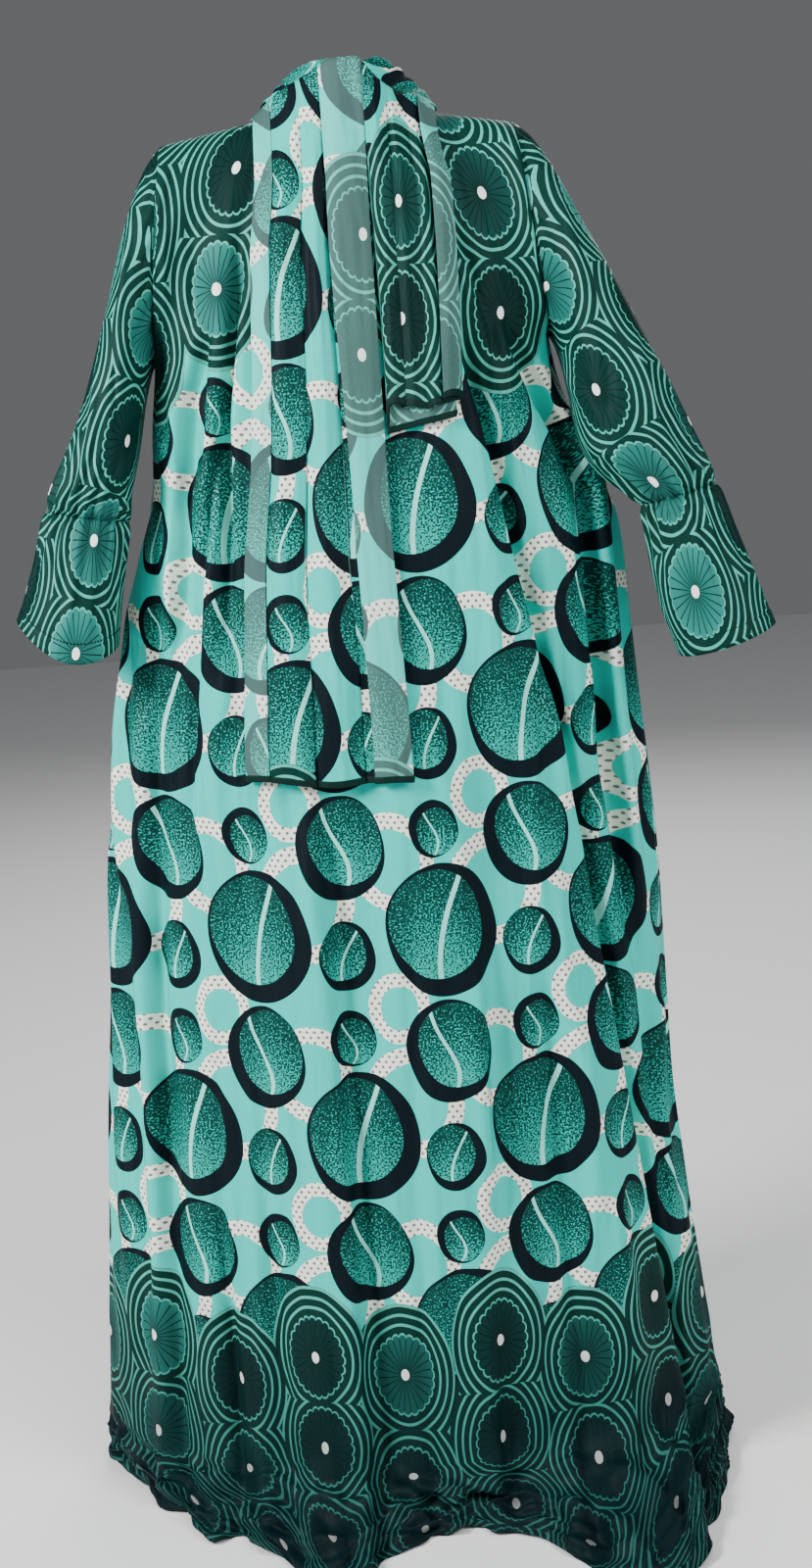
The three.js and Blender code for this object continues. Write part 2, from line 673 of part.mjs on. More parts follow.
// Round the back of the neck from the top of the long end to the top of the short end.
function scarfNeck(longEnd, shortEnd) {
  const count = NECK_LONG.last - NECK_LONG.first;
  const start = topRow(longEnd, NECK_LONG.first, NECK_LONG.last, count, SEAM_GAP);
  const finish = topRow(shortEnd, NECK_SHORT.last, NECK_SHORT.first, count, NECK_JOIN);
  const base = NECK_PATH.map((p) => start.points.map((_, i) => {
    const t = i / count;
    return new THREE.Vector3(
      lerp(p.outX, p.inX, t),
      lerp(p.outY, p.inY, t),
      lerp(p.outH, p.inH, t) + NECK_SWELL * Math.sin(Math.PI * t),
    );
  }));
  const flat = gridNormals(base, false);
  const pleated = base.map((row, j) => row.map((point, i) => {
    const up = flat[j][i].z >= 0 ? 1 : -1;
    const pleat = LONG_SECTION[NECK_LONG.first + i].pleat;
    return point.clone().addScaledVector(flat[j][i], up * pleat * NECK_PLEAT);
  }));
  const rows = [start.points, ...pleated, finish.points];
  const normals = gridNormals(rows, false);
  for (const [j, ends, beside] of [[0, start, 1], [rows.length - 1, finish, rows.length - 2]]) {
    ends.normals.forEach((normal, i) => {
      normals[j][i] = normal.clone().multiplyScalar(normal.dot(normals[beside][i]) < 0 ? -1 : 1);
    });
  }
  return { rows, normals };
}

function prayerDress() {
  const group = new THREE.Group();
  group.name = 'prayer_dress';
  group.add(dressPanel(FRONT, 'dress_front'));
  group.add(dressPanel(BACK, 'dress_back'));
  group.add(...sleeve('sleeve_left', LEFT_SLEEVE, LEFT_CUFF, -1, 'cuff_left'));
  group.add(...sleeve('sleeve_right', RIGHT_SLEEVE, RIGHT_CUFF, 1, 'cuff_right'));
  const longEnd = scarfEnd(
    LONG_SECTION,
    LONG_END,
    (spot) => lerp(LONG_BOTTOM.left, LONG_BOTTOM.right, spot.across),
    () => 0,
    LONG_TOP,
  );
  const shortEnd = scarfEnd(
    SHORT_SECTION,
    SHORT_END,
    (spot) => (spot.layer < BEHIND
      ? SHORT_BOTTOM.back
      : SHORT_BOTTOM.front + SHORT_BOTTOM.layerRise * spot.layer),
    (spot) => (spot.layer < BEHIND ? SHORT_TUCK : 0),
    SHORT_TOP,
  );
  group.add(scarfPiece('scarf_long_end', longEnd, COLOUR.ground));
  group.add(scarfPiece('scarf_short_end', shortEnd, COLOUR.dark));
  group.add(scarfPiece('scarf_neck', scarfNeck(longEnd, shortEnd), COLOUR.ground));
  return group;
}

export default prayerDress();
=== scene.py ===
"""Looks of a long printed prayer dress and its scarf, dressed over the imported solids.

Sizes are in millimetres with heights above the floor, as a maker would note them, and are
turned to metres about the neck point only where a mesh is written.
"""

import logging
import math
from dataclasses import dataclass
from enum import Enum

import bpy
import numpy as np
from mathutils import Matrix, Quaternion, Vector


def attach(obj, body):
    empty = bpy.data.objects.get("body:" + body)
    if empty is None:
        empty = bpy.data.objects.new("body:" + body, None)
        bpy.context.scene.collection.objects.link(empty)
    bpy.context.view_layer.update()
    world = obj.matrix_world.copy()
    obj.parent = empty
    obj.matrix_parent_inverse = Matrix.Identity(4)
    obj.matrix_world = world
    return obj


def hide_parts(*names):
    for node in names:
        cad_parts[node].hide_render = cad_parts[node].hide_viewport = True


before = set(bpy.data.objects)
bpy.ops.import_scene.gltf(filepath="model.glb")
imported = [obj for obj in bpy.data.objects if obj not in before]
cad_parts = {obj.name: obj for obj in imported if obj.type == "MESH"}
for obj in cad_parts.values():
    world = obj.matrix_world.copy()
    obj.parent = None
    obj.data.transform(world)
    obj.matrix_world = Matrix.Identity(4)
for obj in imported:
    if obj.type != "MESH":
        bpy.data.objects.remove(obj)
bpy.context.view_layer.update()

LOG = logging.getLogger("prayer_dress")
ORIGIN_HEIGHT = 1450.0
SHOULDER_HALF = 180.0
SHOULDER_HEIGHT = 1452.0
NECK_HALF = 90.0
NECK_RISE = 16.0
UNDERARM_HALF = 204.0
UNDERARM_HEIGHT = 1241.0
ARMHOLE_DEPTH = 55.0
NECK_SHARE = 0.305
POOL_HEIGHT = 60.0
POOL_CLOTH = 165.0
POOL_LEFT = 363.0
POOL_RIGHT = 334.0
POOL_DEEP = 170.0
CHEST_HEIGHT = 1395.0
SEAM_GAP = 0.3
CLOTH_WALL = 1.2
SCARF_CLEAR = 5.5
LAYER = 6.0
GATHERS = 16
CREASE_DEPTH = 2.2
LINE_DEPTH = 2.1
DRAPE = 2.8


class Table:
    """Rows of sizes under named columns."""

    def __init__(self, columns: str, rows: list[tuple[float, ...]]) -> None:
        """Keeps each named column as an array.

        Args:
            columns: the column names, parted by spaces.
            rows: one tuple of sizes for each row.
        """
        self.names = columns.split()
        self.data = dict(zip(self.names, np.array(rows, float).T))

    def at(self, key: str, name: str, value: np.ndarray | float) -> np.ndarray:
        """Reads one column against another, straight between its rows.

        Args:
            key: the column that value is in.
            name: the column that is read.
            value: one or many places along key.

        Returns:
            The sizes read.
        """
        order = np.argsort(self.data[key])
        return np.interp(value, self.data[key][order], self.data[name][order])

    def rows(self) -> list[dict[str, float]]:
        """Gives each row as a dictionary."""
        return [dict(zip(self.names, row)) for row in zip(*self.data.values())]

    def along(self, name: str, share: np.ndarray) -> np.ndarray:
        """Reads a column by its rows' order, from 0 at the first row to 1 at the last."""
        column = self.data[name]
        return np.interp(np.asarray(share) * (len(column) - 1), np.arange(len(column)), column)


OUTLINE = Table("height left right front back bend", [
    (1241, 204, 204, 108, 96, 1.0),
    (1190, 211, 212, 113, 100, 1.0),
    (1150, 215, 224, 117, 103, 1.0),
    (1105, 217, 244, 121, 106, 1.0),
    (1064, 227, 265, 126, 109, 1.0),
    (1024, 245, 270, 130, 112, 1.05),
    (983, 259, 272, 134, 115, 1.1),
    (899, 269, 278, 139, 119, 1.15),
    (814, 287, 286, 144, 123, 1.15),
    (684, 305, 295, 151, 129, 1.2),
    (551, 317, 297, 157, 134, 1.25),
    (415, 333, 299, 162, 139, 1.3),
    (275, 345, 312, 167, 144, 1.35),
    (130, 358, 328, 170, 148, 1.4),
    (60, 363, 334, 172, 150, 1.4),
])
FOLD_COLUMNS = "x1 h1 x2 h2 x3 h3 breadth stand"
FRONT_FOLDS = Table(FOLD_COLUMNS, [
    (111, 1270, 201, 739, 292, 60, 20, -15),
    (78, 1240, 166, 739, 250, 60, 26, 12),
    (150, 1290, 229, 1087, 256, 560, 17, -12),
    (178, 1270, 250, 1050, 276, 520, 15, 8),
    (-103, 1380, -133, 1137, -150, 800, 17, -11),
    (-120, 1370, -158, 1137, -180, 820, 16, 8),
    (-136, 1300, -183, 1094, -220, 760, 16, -10),
    (-200, 1010, -236, 700, -262, 240, 24, -9),
    (-92, 760, -98, 420, -101, 60, 34, 12),
    (-150, 820, -160, 400, -166, 60, 24, -9),
    (-30, 900, -34, 420, -38, 60, 26, -8),
    (60, 1120, 36, 620, 34, 60, 34, 7),
    (118, 860, 110, 420, 96, 60, 26, -8),
    (190, 520, 204, 280, 206, 60, 30, 12),
])
BACK_FOLDS = Table(FOLD_COLUMNS, [
    (-60, 1330, -96, 800, -120, 60, 30, 13),
    (-102, 1280, -146, 800, -168, 60, 26, -13),
    (12, 1360, -12, 760, -30, 60, 30, -12),
    (46, 1300, 54, 760, 66, 60, 32, 13),
    (96, 1290, 128, 780, 140, 60, 28, -12),
    (150, 1180, 196, 700, 214, 60, 28, 11),
    (-160, 1150, -214, 660, -232, 60, 26, 10),
])

# Narrow creases that run with the hanging folds, each trough with a ridge beside it.
FRONT_LINES = Table(FOLD_COLUMNS, [
    (111, 1247, 197, 790, 292, 60, 6, -10),
    (98, 1247, 184, 790, 278, 60, 9, 5),
    (155, 1256, 229, 1087, 256, 560, 6, -9),
    (168, 1256, 242, 1087, 268, 560, 8, 5),
    (112, 1350, 134, 1281, 152, 1200, 6, -5),
    (122, 1350, 145, 1281, 163, 1200, 7, 4),
    (-103, 1359, -130, 1160, -146, 940, 6, -6),
    (-93, 1359, -119, 1160, -134, 940, 8, 4),
    (-136, 1281, -168, 1197, -204, 900, 6, -6),
    (-147, 1281, -180, 1197, -216, 900, 8, 4),
    (-126, 1206, -175, 1009, -216, 700, 6, -5),
    (-186, 1400, -190, 1330, -196, 1262, 5, -4),
    (186, 1400, 190, 1330, 196, 1262, 5, -4),
    (-232, 900, -258, 520, -276, 60, 10, -6),
    (-246, 900, -273, 520, -292, 60, 11, 4),
    (-60, 800, -54, 420, -52, 60, 12, -5),
    (-74, 800, -70, 420, -68, 60, 12, 4),
    (22, 740, 6, 380, 2, 60, 11, -4),
    (84, 640, 76, 300, 70, 60, 12, 4),
    (150, 600, 162, 300, 168, 60, 11, -5),
    (-150, 620, -168, 300, -176, 60, 11, 4),
    (232, 980, 262, 640, 284, 240, 8, -6),
    (-196, 520, -206, 250, -210, 60, 9, -5),
])
BACK_LINES = Table(FOLD_COLUMNS, [
    (-122, 1270, -158, 800, -182, 60, 7, -8),
    (-136, 1270, -172, 800, -196, 60, 9, 5),
    (118, 1270, 150, 800, 164, 60, 7, -7),
    (131, 1270, 164, 800, 178, 60, 9, 4),
    (-14, 1340, -30, 760, -44, 60, 8, -6),
    (30, 1300, 38, 700, 44, 60, 9, 4),
    (-76, 1180, -92, 640, -104, 60, 9, -5),
    (76, 1160, 92, 600, 100, 60, 10, 4),
    (-186, 1400, -190, 1330, -196, 1262, 5, -4),
    (186, 1400, 190, 1330, 196, 1262, 5, -4),
    (216, 900, 244, 500, 262, 60, 9, -6),
    (-228, 880, -252, 480, -268, 60, 9, -6),
])

# Small creases in the flat of the cloth: width across from the middle and height, end to end.
CREASE_COLUMNS = "u1 h1 u2 h2 breadth stand"
FRONT_CREASES = Table(CREASE_COLUMNS, [
    (-188, 1400, -196, 1280, 5, 1.6),
    (-176, 1380, -180, 1250, 6, -1.8),
    (-205, 1235, -232, 1110, 8, 2.4),
    (-160, 1290, -205, 1060, 7, -2.6),
    (-110, 1300, -118, 1120, 6, 2.0),
    (-96, 1240, -112, 1000, 7, -2.4),
    (-178, 1130, -236, 905, 9, 3.0),
    (-250, 1080, -276, 860, 9, -2.8),
    (-300, 980, -312, 640, 12, 3.0),
    (-140, 980, -170, 640, 10, 2.6),
    (-222, 860, -240, 520, 9, -2.2),
    (-70, 780, -58, 520, 10, -2.0),
    (-120, 640, -128, 330, 12, 2.4),
    (-182, 560, -196, 180, 12, 2.6),
    (-262, 640, -290, 160, 12, 2.8),
    (-330, 620, -352, 120, 14, -3.0),
    (-12, 560, 6, 220, 12, 2.2),
    (-70, 330, -66, 80, 11, 2.6),
    (30, 380, 22, 80, 12, -2.4),
    (66, 1010, 84, 700, 9, 2.2),
    (120, 1190, 158, 930, 8, 2.6),
    (142, 1330, 150, 1210, 6, -2.2),
    (120, 1370, 138, 1250, 6, 2.0),
    (170, 1390, 182, 1260, 6, 1.8),
    (206, 1230, 238, 1080, 8, -2.6),
    (196, 960, 214, 700, 10, 2.6),
    (240, 900, 262, 560, 10, -2.6),
    (92, 620, 104, 300, 12, 2.4),
    (150, 640, 176, 220, 12, -2.6),
    (282, 820, 300, 380, 12, 3.0),
    (318, 700, 340, 200, 13, -3.0),
    (246, 420, 262, 90, 12, 2.6),
    (128, 300, 140, 70, 11, 2.6),
    (356, 620, 372, 160, 12, 2.6),
])
BACK_CREASES = Table(CREASE_COLUMNS, [
    (-150, 1400, -168, 1260, 7, 2.0),
    (-90, 1380, -104, 1180, 8, -2.2),
    (-30, 1390, -38, 1150, 8, 2.2),
    (40, 1380, 30, 1200, 7, -2.0),
    (110, 1390, 128, 1180, 8, 2.2),
    (172, 1360, 186, 1200, 7, -2.0),
    (-190, 1180, -216, 900, 9, 2.6),
    (-70, 1100, -76, 760, 10, -2.6),
    (24, 1060, 12, 700, 10, 2.4),
    (160, 1080, 180, 800, 9, 2.6),
    (-250, 900, -276, 480, 11, 2.8),
    (-150, 820, -170, 420, 11, -2.6),
    (-40, 700, -48, 300, 12, 2.6),
    (90, 760, 104, 360, 11, -2.6),
    (220, 800, 246, 380, 12, 2.8),
    (300, 700, 322, 240, 12, -2.8),
    (-330, 560, -350, 140, 12, -2.8),
    (-200, 420, -212, 90, 12, 2.6),
    (30, 400, 34, 90, 12, 2.6),
    (160, 360, 176, 80, 12, 2.6),
])

FRONT_HEM = Table("across x y", [
    (-1.0, -370, 0),
    (-0.86, -346, -26),
    (-0.74, -318, -72),
    (-0.62, -280, -135),
    (-0.5, -236, -204),
    (-0.44, -217, -188),
    (-0.34, -168, -226),
    (-0.24, -120, -302),
    (-0.18, -98, -318),
    (-0.08, -40, -246),
    (0.08, 39, -200),
    (0.22, 112, -232),
    (0.33, 160, -300),
    (0.42, 206, -364),
    (0.55, 270, -312),
    (0.66, 300, -222),
    (0.78, 322, -140),
    (0.9, 334, -60),
    (1.0, 341, 0),
])
BACK_HEM = Table("across x y", [
    (-1.0, -370, 0),
    (-0.8, -352, 74),
    (-0.6, -300, 170),
    (-0.42, -216, 232),
    (-0.26, -140, 262),
    (-0.08, -42, 214),
    (0.1, 52, 206),
    (0.28, 138, 258),
    (0.45, 214, 240),
    (0.62, 282, 164),
    (0.82, 328, 76),
    (1.0, 341, 0),
])
POOL = Table("along high buckle buckle_high", [
    (0.0, 60, 0, 60),
    (0.06, 51, 9, 51),
    (0.16, 44, 17, 42),
    (0.32, 36, 7, 33),
    (0.5, 27, -3, 24),
    (0.7, 18, 9, 17),
    (0.87, 9, 7, 8),
    (1.0, 2.4, 0, 2.4),
])

RING_COLUMNS = "out_x out_h in_x in_h deep forward drop_front drop_back gather"
LEFT_SLEEVE = Table(RING_COLUMNS, [
    (180, 1452, 204, 1241, 55, 0, 0, 0, 0),
    (201, 1426, 209, 1229, 58, 3, 0, 0, 0),
    (217, 1390, 214, 1213, 59, 8, 0, 0, 0),
    (232, 1347, 219, 1194, 58, 14, 0, 0, 0),
    (244, 1304, 223, 1172, 56, 20, 0, 0, 0),
    (257, 1265, 227, 1151, 54, 26, 0, 0, 0),
    (271, 1222, 232, 1129, 52, 32, 0, 0, 0),
    (287, 1181, 238, 1110, 49, 38, 0, 0, 0.6),
    (302, 1147, 241, 1094, 45, 43, 0, 0, 1.6),
    (317, 1117, 243, 1085, 40, 47, 0, 0, 2.6),
    (325, 1095, 244, 1078, 36, 50, 0, 0, 3.4),
])
RIGHT_SLEEVE = Table(RING_COLUMNS, [
    (180, 1452, 204, 1241, 55, 0, 0, 0, 0),
    (202, 1433, 210, 1231, 58, 8, 0, 0, 0),
    (223, 1394, 215, 1212, 60, 20, 0, 0, 0),
    (242, 1352, 219, 1191, 60, 32, 0, 0, 0),
    (262, 1312, 222, 1166, 58, 42, 0, 0, 0),
    (280, 1272, 224, 1142, 56, 52, 0, 0, 0),
    (298, 1231, 228, 1122, 54, 62, 0, 0, 0),
    (317, 1191, 236, 1104, 51, 70, 0, 0, 0.6),
    (333, 1150, 250, 1090, 46, 76, 0, 0, 1.6),
    (349, 1110, 270, 1076, 40, 81, 0, 0, 2.6),
    (360, 1079, 286, 1061, 35, 84, 0, 0, 3.4),
])
LEFT_CUFF = Table(RING_COLUMNS, [
    (325, 1095, 244, 1078, 36, 50, 0, 0, 3.4),
    (333, 1074, 247, 1055, 42, 52, 1, 1, 2.2),
    (343, 1040, 252, 1024, 46, 55, 5, 3, 1.2),
    (354, 1009, 257, 989, 48, 58, 13, 7, 0.4),
    (364, 985, 263, 951, 48, 60, 26, 14, 0),
])
RIGHT_CUFF = Table(RING_COLUMNS, [
    (360, 1079, 286, 1061, 35, 84, 0, 0, 3.4),
    (371, 1053, 289, 1036, 40, 85, 0, 1, 2.2),
    (383, 1018, 292, 996, 45, 87, 1, 4, 1.2),
    (400, 972, 301, 948, 47, 89, 2, 9, 0.4),
    (414, 932, 315, 905, 46, 90, 3, 16, 0),
])
# Sleeve creases: turn round the sleeve (0 outer edge, 0.25 front, 0.5 inner edge) and share down it.
SLEEVE_CREASES = Table("turn1 down1 turn2 down2 breadth stand", [
    (0.10, 0.10, 0.22, 0.42, 9, 3.0),
    (0.40, 0.08, 0.30, 0.30, 8, -2.8),
    (0.46, 0.20, 0.34, 0.52, 9, 3.4),
    (0.20, 0.40, 0.34, 0.66, 9, -3.2),
    (0.08, 0.52, 0.20, 0.84, 8, 2.8),
    (0.42, 0.55, 0.30, 0.86, 8, 3.0),
    (0.48, 0.70, 0.40, 0.95, 7, -2.6),
    (0.60, 0.15, 0.70, 0.48, 9, 3.0),
    (0.90, 0.12, 0.78, 0.44, 9, -2.8),
    (0.66, 0.55, 0.76, 0.88, 8, 2.8),
    (0.86, 0.60, 0.92, 0.90, 8, -2.6),
])

LONG_END = Table("height left right", [
    (804, -139, 34),
    (841, -138, 34),
    (1032, -123, 29),
    (1124, -109, 28.5),
    (1210, -101, 28.5),
    (1288, -97, 28.5),
    (1338, -94, 28.2),
    (1404, -85, 29),
    (1464, -84, 30),
    (1480, -84, 30),
])
SHORT_END = Table("height left right", [
    (1150, 32, 109),
    (1185, 32, 109),
    (1264, 32, 112),
    (1338, 31, 113),
    (1404, 30, 112),
    (1464, 30, 103),
    (1480, 30, 100),
])
# Folded paths seen from above: share across at the top and at the foot, layer and swell.
LONG_SECTION = Table("top across layer pleat", [
    (0.17, 0.15, 1.1, 0), (0.08, 0.07, 1.1, 0), (0.0, 0.0, 0.5, 0), (0.08, 0.07, 0.0, 0),
    (0.2, 0.17, 0.0, 0), (0.26, 0.21, 0.4, 0), (0.17, 0.15, 0.8, 0), (0.2, 0.18, 1.4, 2),
    (0.29, 0.26, 1.4, 4), (0.38, 0.36, 1.0, 3), (0.43, 0.42, 0.6, 0), (0.38, 0.38, 0.1, 0),
    (0.42, 0.43, 0.3, 0), (0.47, 0.5, 1.1, 3), (0.54, 0.58, 1.3, 4), (0.6, 0.66, 0.8, 1),
    (0.63, 0.72, 0.2, 0), (0.6, 0.68, 0.0, 0), (0.64, 0.73, 0.2, 0), (0.72, 0.81, 0.5, 2),
    (0.82, 0.88, 0.3, 1), (0.93, 0.95, 0.0, 0), (1.0, 1.0, 0.5, 0), (0.93, 0.94, 1.1, 0),
    (0.81, 0.87, 1.4, 2), (0.7, 0.81, 1.5, 3), (0.62, 0.77, 1.3, 1),
])
SHORT_SECTION = Table("top across layer pleat", [
    (0.9, 0.9, 0, 0), (0.6, 0.6, 0, 0), (0.3, 0.3, 0, 0), (0.06, 0.06, 0, 0),
    (0.0, 0.0, 0.5, 0), (0.06, 0.05, 1.0, 0), (0.15, 0.13, 1.3, 3), (0.24, 0.2, 0.9, 2),
    (0.3, 0.25, 0.6, 0), (0.26, 0.21, 0.3, 0), (0.32, 0.26, 0.7, 0), (0.4, 0.36, 1.4, 4),
    (0.48, 0.46, 1.0, 2), (0.55, 0.54, 0.8, 0), (0.62, 0.6, 1.4, 2), (0.69, 0.68, 1.5, 4),
    (0.75, 0.74, 0.9, 0), (0.81, 0.8, 0.8, 0), (0.93, 0.93, 0.9, 0), (1.0, 1.0, 1.4, 0),
    (0.93, 0.93, 2.0, 0), (0.83, 0.84, 2.2, 2), (0.76, 0.74, 2.1, 1),
])
NECK_PLEATS = Table("across pleat", [
    (0.0, 0), (0.14, 2), (0.22, 6), (0.31, 0), (0.42, 7),
    (0.52, 0), (0.63, 7), (0.73, 1), (0.84, 6), (1.0, 0),
])

TOP_LINE = Table("x height forward", [
    (-81, 1476, 6),
    (-55, 1495, 22),
    (-22, 1510, 36),
    (-4, 1521, 43),
    (27, 1522, 46),
    (44, 1501, 40),
    (62, 1487, 30),
    (86, 1484, 18),
    (103, 1470, 6),
])
NECK_PATH = Table("out_x out_y out_h in_x in_y in_h", [
    (-88, 18, 1473, -12, -34, 1523),
    (-78, 37, 1466, -36, -14, 1518),
    (-58, 50, 1460, -34, 10, 1514),
    (-28, 57, 1456, -18, 26, 1512),
    (8, 59, 1455, 6, 31, 1512),
    (44, 57, 1456, 30, 27, 1512),
    (74, 47, 1461, 44, 12, 1514),
    (96, 31, 1467, 50, -10, 1518),
    (107, 14, 1472, 46, -28, 1523),
])


def smooth(value: np.ndarray | float) -> np.ndarray:
    """Eases from 0 to 1 as value goes from 0 to 1."""
    held = np.clip(value, 0, 1)
    return held * held * (3 - 2 * held)


def blend(low: np.ndarray | float, high: np.ndarray | float, share: np.ndarray | float) -> np.ndarray:
    """Goes straight from low to high as share goes from 0 to 1."""
    return low + (high - low) * share


def soften(points: np.ndarray, times: int, axis: int, weight: np.ndarray | float = 1.0) -> np.ndarray:
    """Rounds the small corners of a grid of points along one axis, with its ends kept.

    Args:
        points: grid of points, rows by columns by three.
        times: how many light passes are made.
        axis: 0 down the rows, 1 across the columns.
        weight: share of each pass that a point takes, as a number or a grid.

    Returns:
        The softened grid.
    """
    result = points.copy()
    inner = [slice(None)] * 3
    before = [slice(None)] * 3
    after = [slice(None)] * 3
    inner[axis] = slice(1, -1)
    before[axis] = slice(0, -2)
    after[axis] = slice(2, None)
    for _ in range(times):
        middle = result[tuple(inner)]
        mean = (result[tuple(before)] + result[tuple(after)]) / 2
        share = weight if np.isscalar(weight) else weight[tuple(inner[:2])][..., None]
        result[tuple(inner)] = middle + (mean - middle) * 0.5 * share
    return result


def grid_normals(points: np.ndarray, closed: bool) -> np.ndarray:
    """Works out the unit normal at each point of a grid.

    Args:
        points: grid of points, rows by columns by three.
        closed: true where the last column meets the first.

    Returns:
        The normals, down the rows crossed with along the columns.
    """
    if closed:
        along = np.roll(points, -1, axis=1) - np.roll(points, 1, axis=1)
    else:
        along = np.gradient(points, axis=1)
    down = np.gradient(points, axis=0)
    normal = np.cross(down, along)
    return normal / np.maximum(np.linalg.norm(normal, axis=2, keepdims=True), 1e-9)


def line_relief(u: np.ndarray, v: np.ndarray, rows: list[tuple[float, ...]]) -> np.ndarray:
    """Sums soft ridges and troughs along straight lines in the flat of the cloth.

    Args:
        u: places across, in millimetres.
        v: places down, in millimetres.
        rows: two ends, half breadth and height of each crease.

    Returns:
        How far each point stands out.
    """
    total = np.zeros_like(u)
    for u1, v1, u2, v2, breadth, stand in rows:
        length = math.hypot(u2 - u1, v2 - v1)
        share = ((u - u1) * (u2 - u1) + (v - v1) * (v2 - v1)) / length**2
        bow = 0.06 * length * np.sin(np.clip(share, 0, 1) * math.pi) * math.copysign(1, stand)
        off = ((u - u1) * (v2 - v1) - (v - v1) * (u2 - u1)) / length - bow
        taper = smooth(share * 2.4 + 0.1) * smooth((1 - share) * 2.4 + 0.1)
        total += stand * np.exp(-((off / breadth) ** 2)) * taper
    return total


def flat_lengths(points: np.ndarray, axis: int) -> np.ndarray:
    """Measures the length walked over a grid along one axis, from 0 at its start.

    Args:
        points: grid of points, rows by columns by three.
        axis: 0 down the rows, 1 across the columns.

    Returns:
        The length walked at each point.
    """
    steps = np.linalg.norm(np.diff(points, axis=axis), axis=2)
    start = np.zeros_like(steps.take([0], axis=axis))
    return np.concatenate([start, np.cumsum(steps, axis=axis)], axis=axis)


@dataclass
class Cloth:
    """A sheet of cloth given as a grid of points with its place in the flat print."""

    name: str
    points: np.ndarray
    flat: np.ndarray
    closed: bool = False
    wall: float = CLOTH_WALL

    def build(self, right_side: bpy.types.Material, wrong_side: bpy.types.Material) -> bpy.types.Object:
        """Makes the sheet a thin shell with its right and wrong side.

        Args:
            right_side: finish of the printed face.
            wrong_side: finish of the paler inner face.

        Returns:
            The object, at the origin.
        """
        high, wide = self.points.shape[:2]
        metres = (self.points - np.array([0, 0, ORIGIN_HEIGHT])) * 0.001
        spans = wide if self.closed else wide - 1
        rows, columns = np.meshgrid(np.arange(high - 1), np.arange(spans), indexing="ij")
        nexts = (columns + 1) % wide
        faces = np.stack([
            rows * wide + columns,
            (rows + 1) * wide + columns,
            (rows + 1) * wide + nexts,
            rows * wide + nexts,
        ], axis=-1).reshape(-1, 4)
        mesh = bpy.data.meshes.new(self.name)
        mesh.from_pydata(metres.reshape(-1, 3).tolist(), [], faces.tolist())
        layer = mesh.uv_layers.new(name="cloth")
        flat_columns = self.flat.shape[1]
        beyond = np.minimum(columns + 1, flat_columns - 1)
        corners = np.stack([
            self.flat[rows, columns],
            self.flat[rows + 1, columns],
            self.flat[rows + 1, beyond],
            self.flat[rows, beyond],
        ], axis=2).reshape(-1, 2)
        layer.data.foreach_set("uv", (corners * 0.001).ravel())
        mesh.materials.append(right_side)
        mesh.materials.append(wrong_side)
        mesh.polygons.foreach_set("use_smooth", [True] * len(mesh.polygons))
        thing = bpy.data.objects.new(self.name, mesh)
        bpy.context.collection.objects.link(thing)
        shell = thing.modifiers.new("wall", "SOLIDIFY")
        shell.thickness = self.wall * 0.001
        shell.offset = 0.0
        shell.material_offset = 1
        shell.use_quality_normals = True
        return thing


class Side(Enum):
    """The two body panels."""

    FRONT = "front"
    BACK = "back"


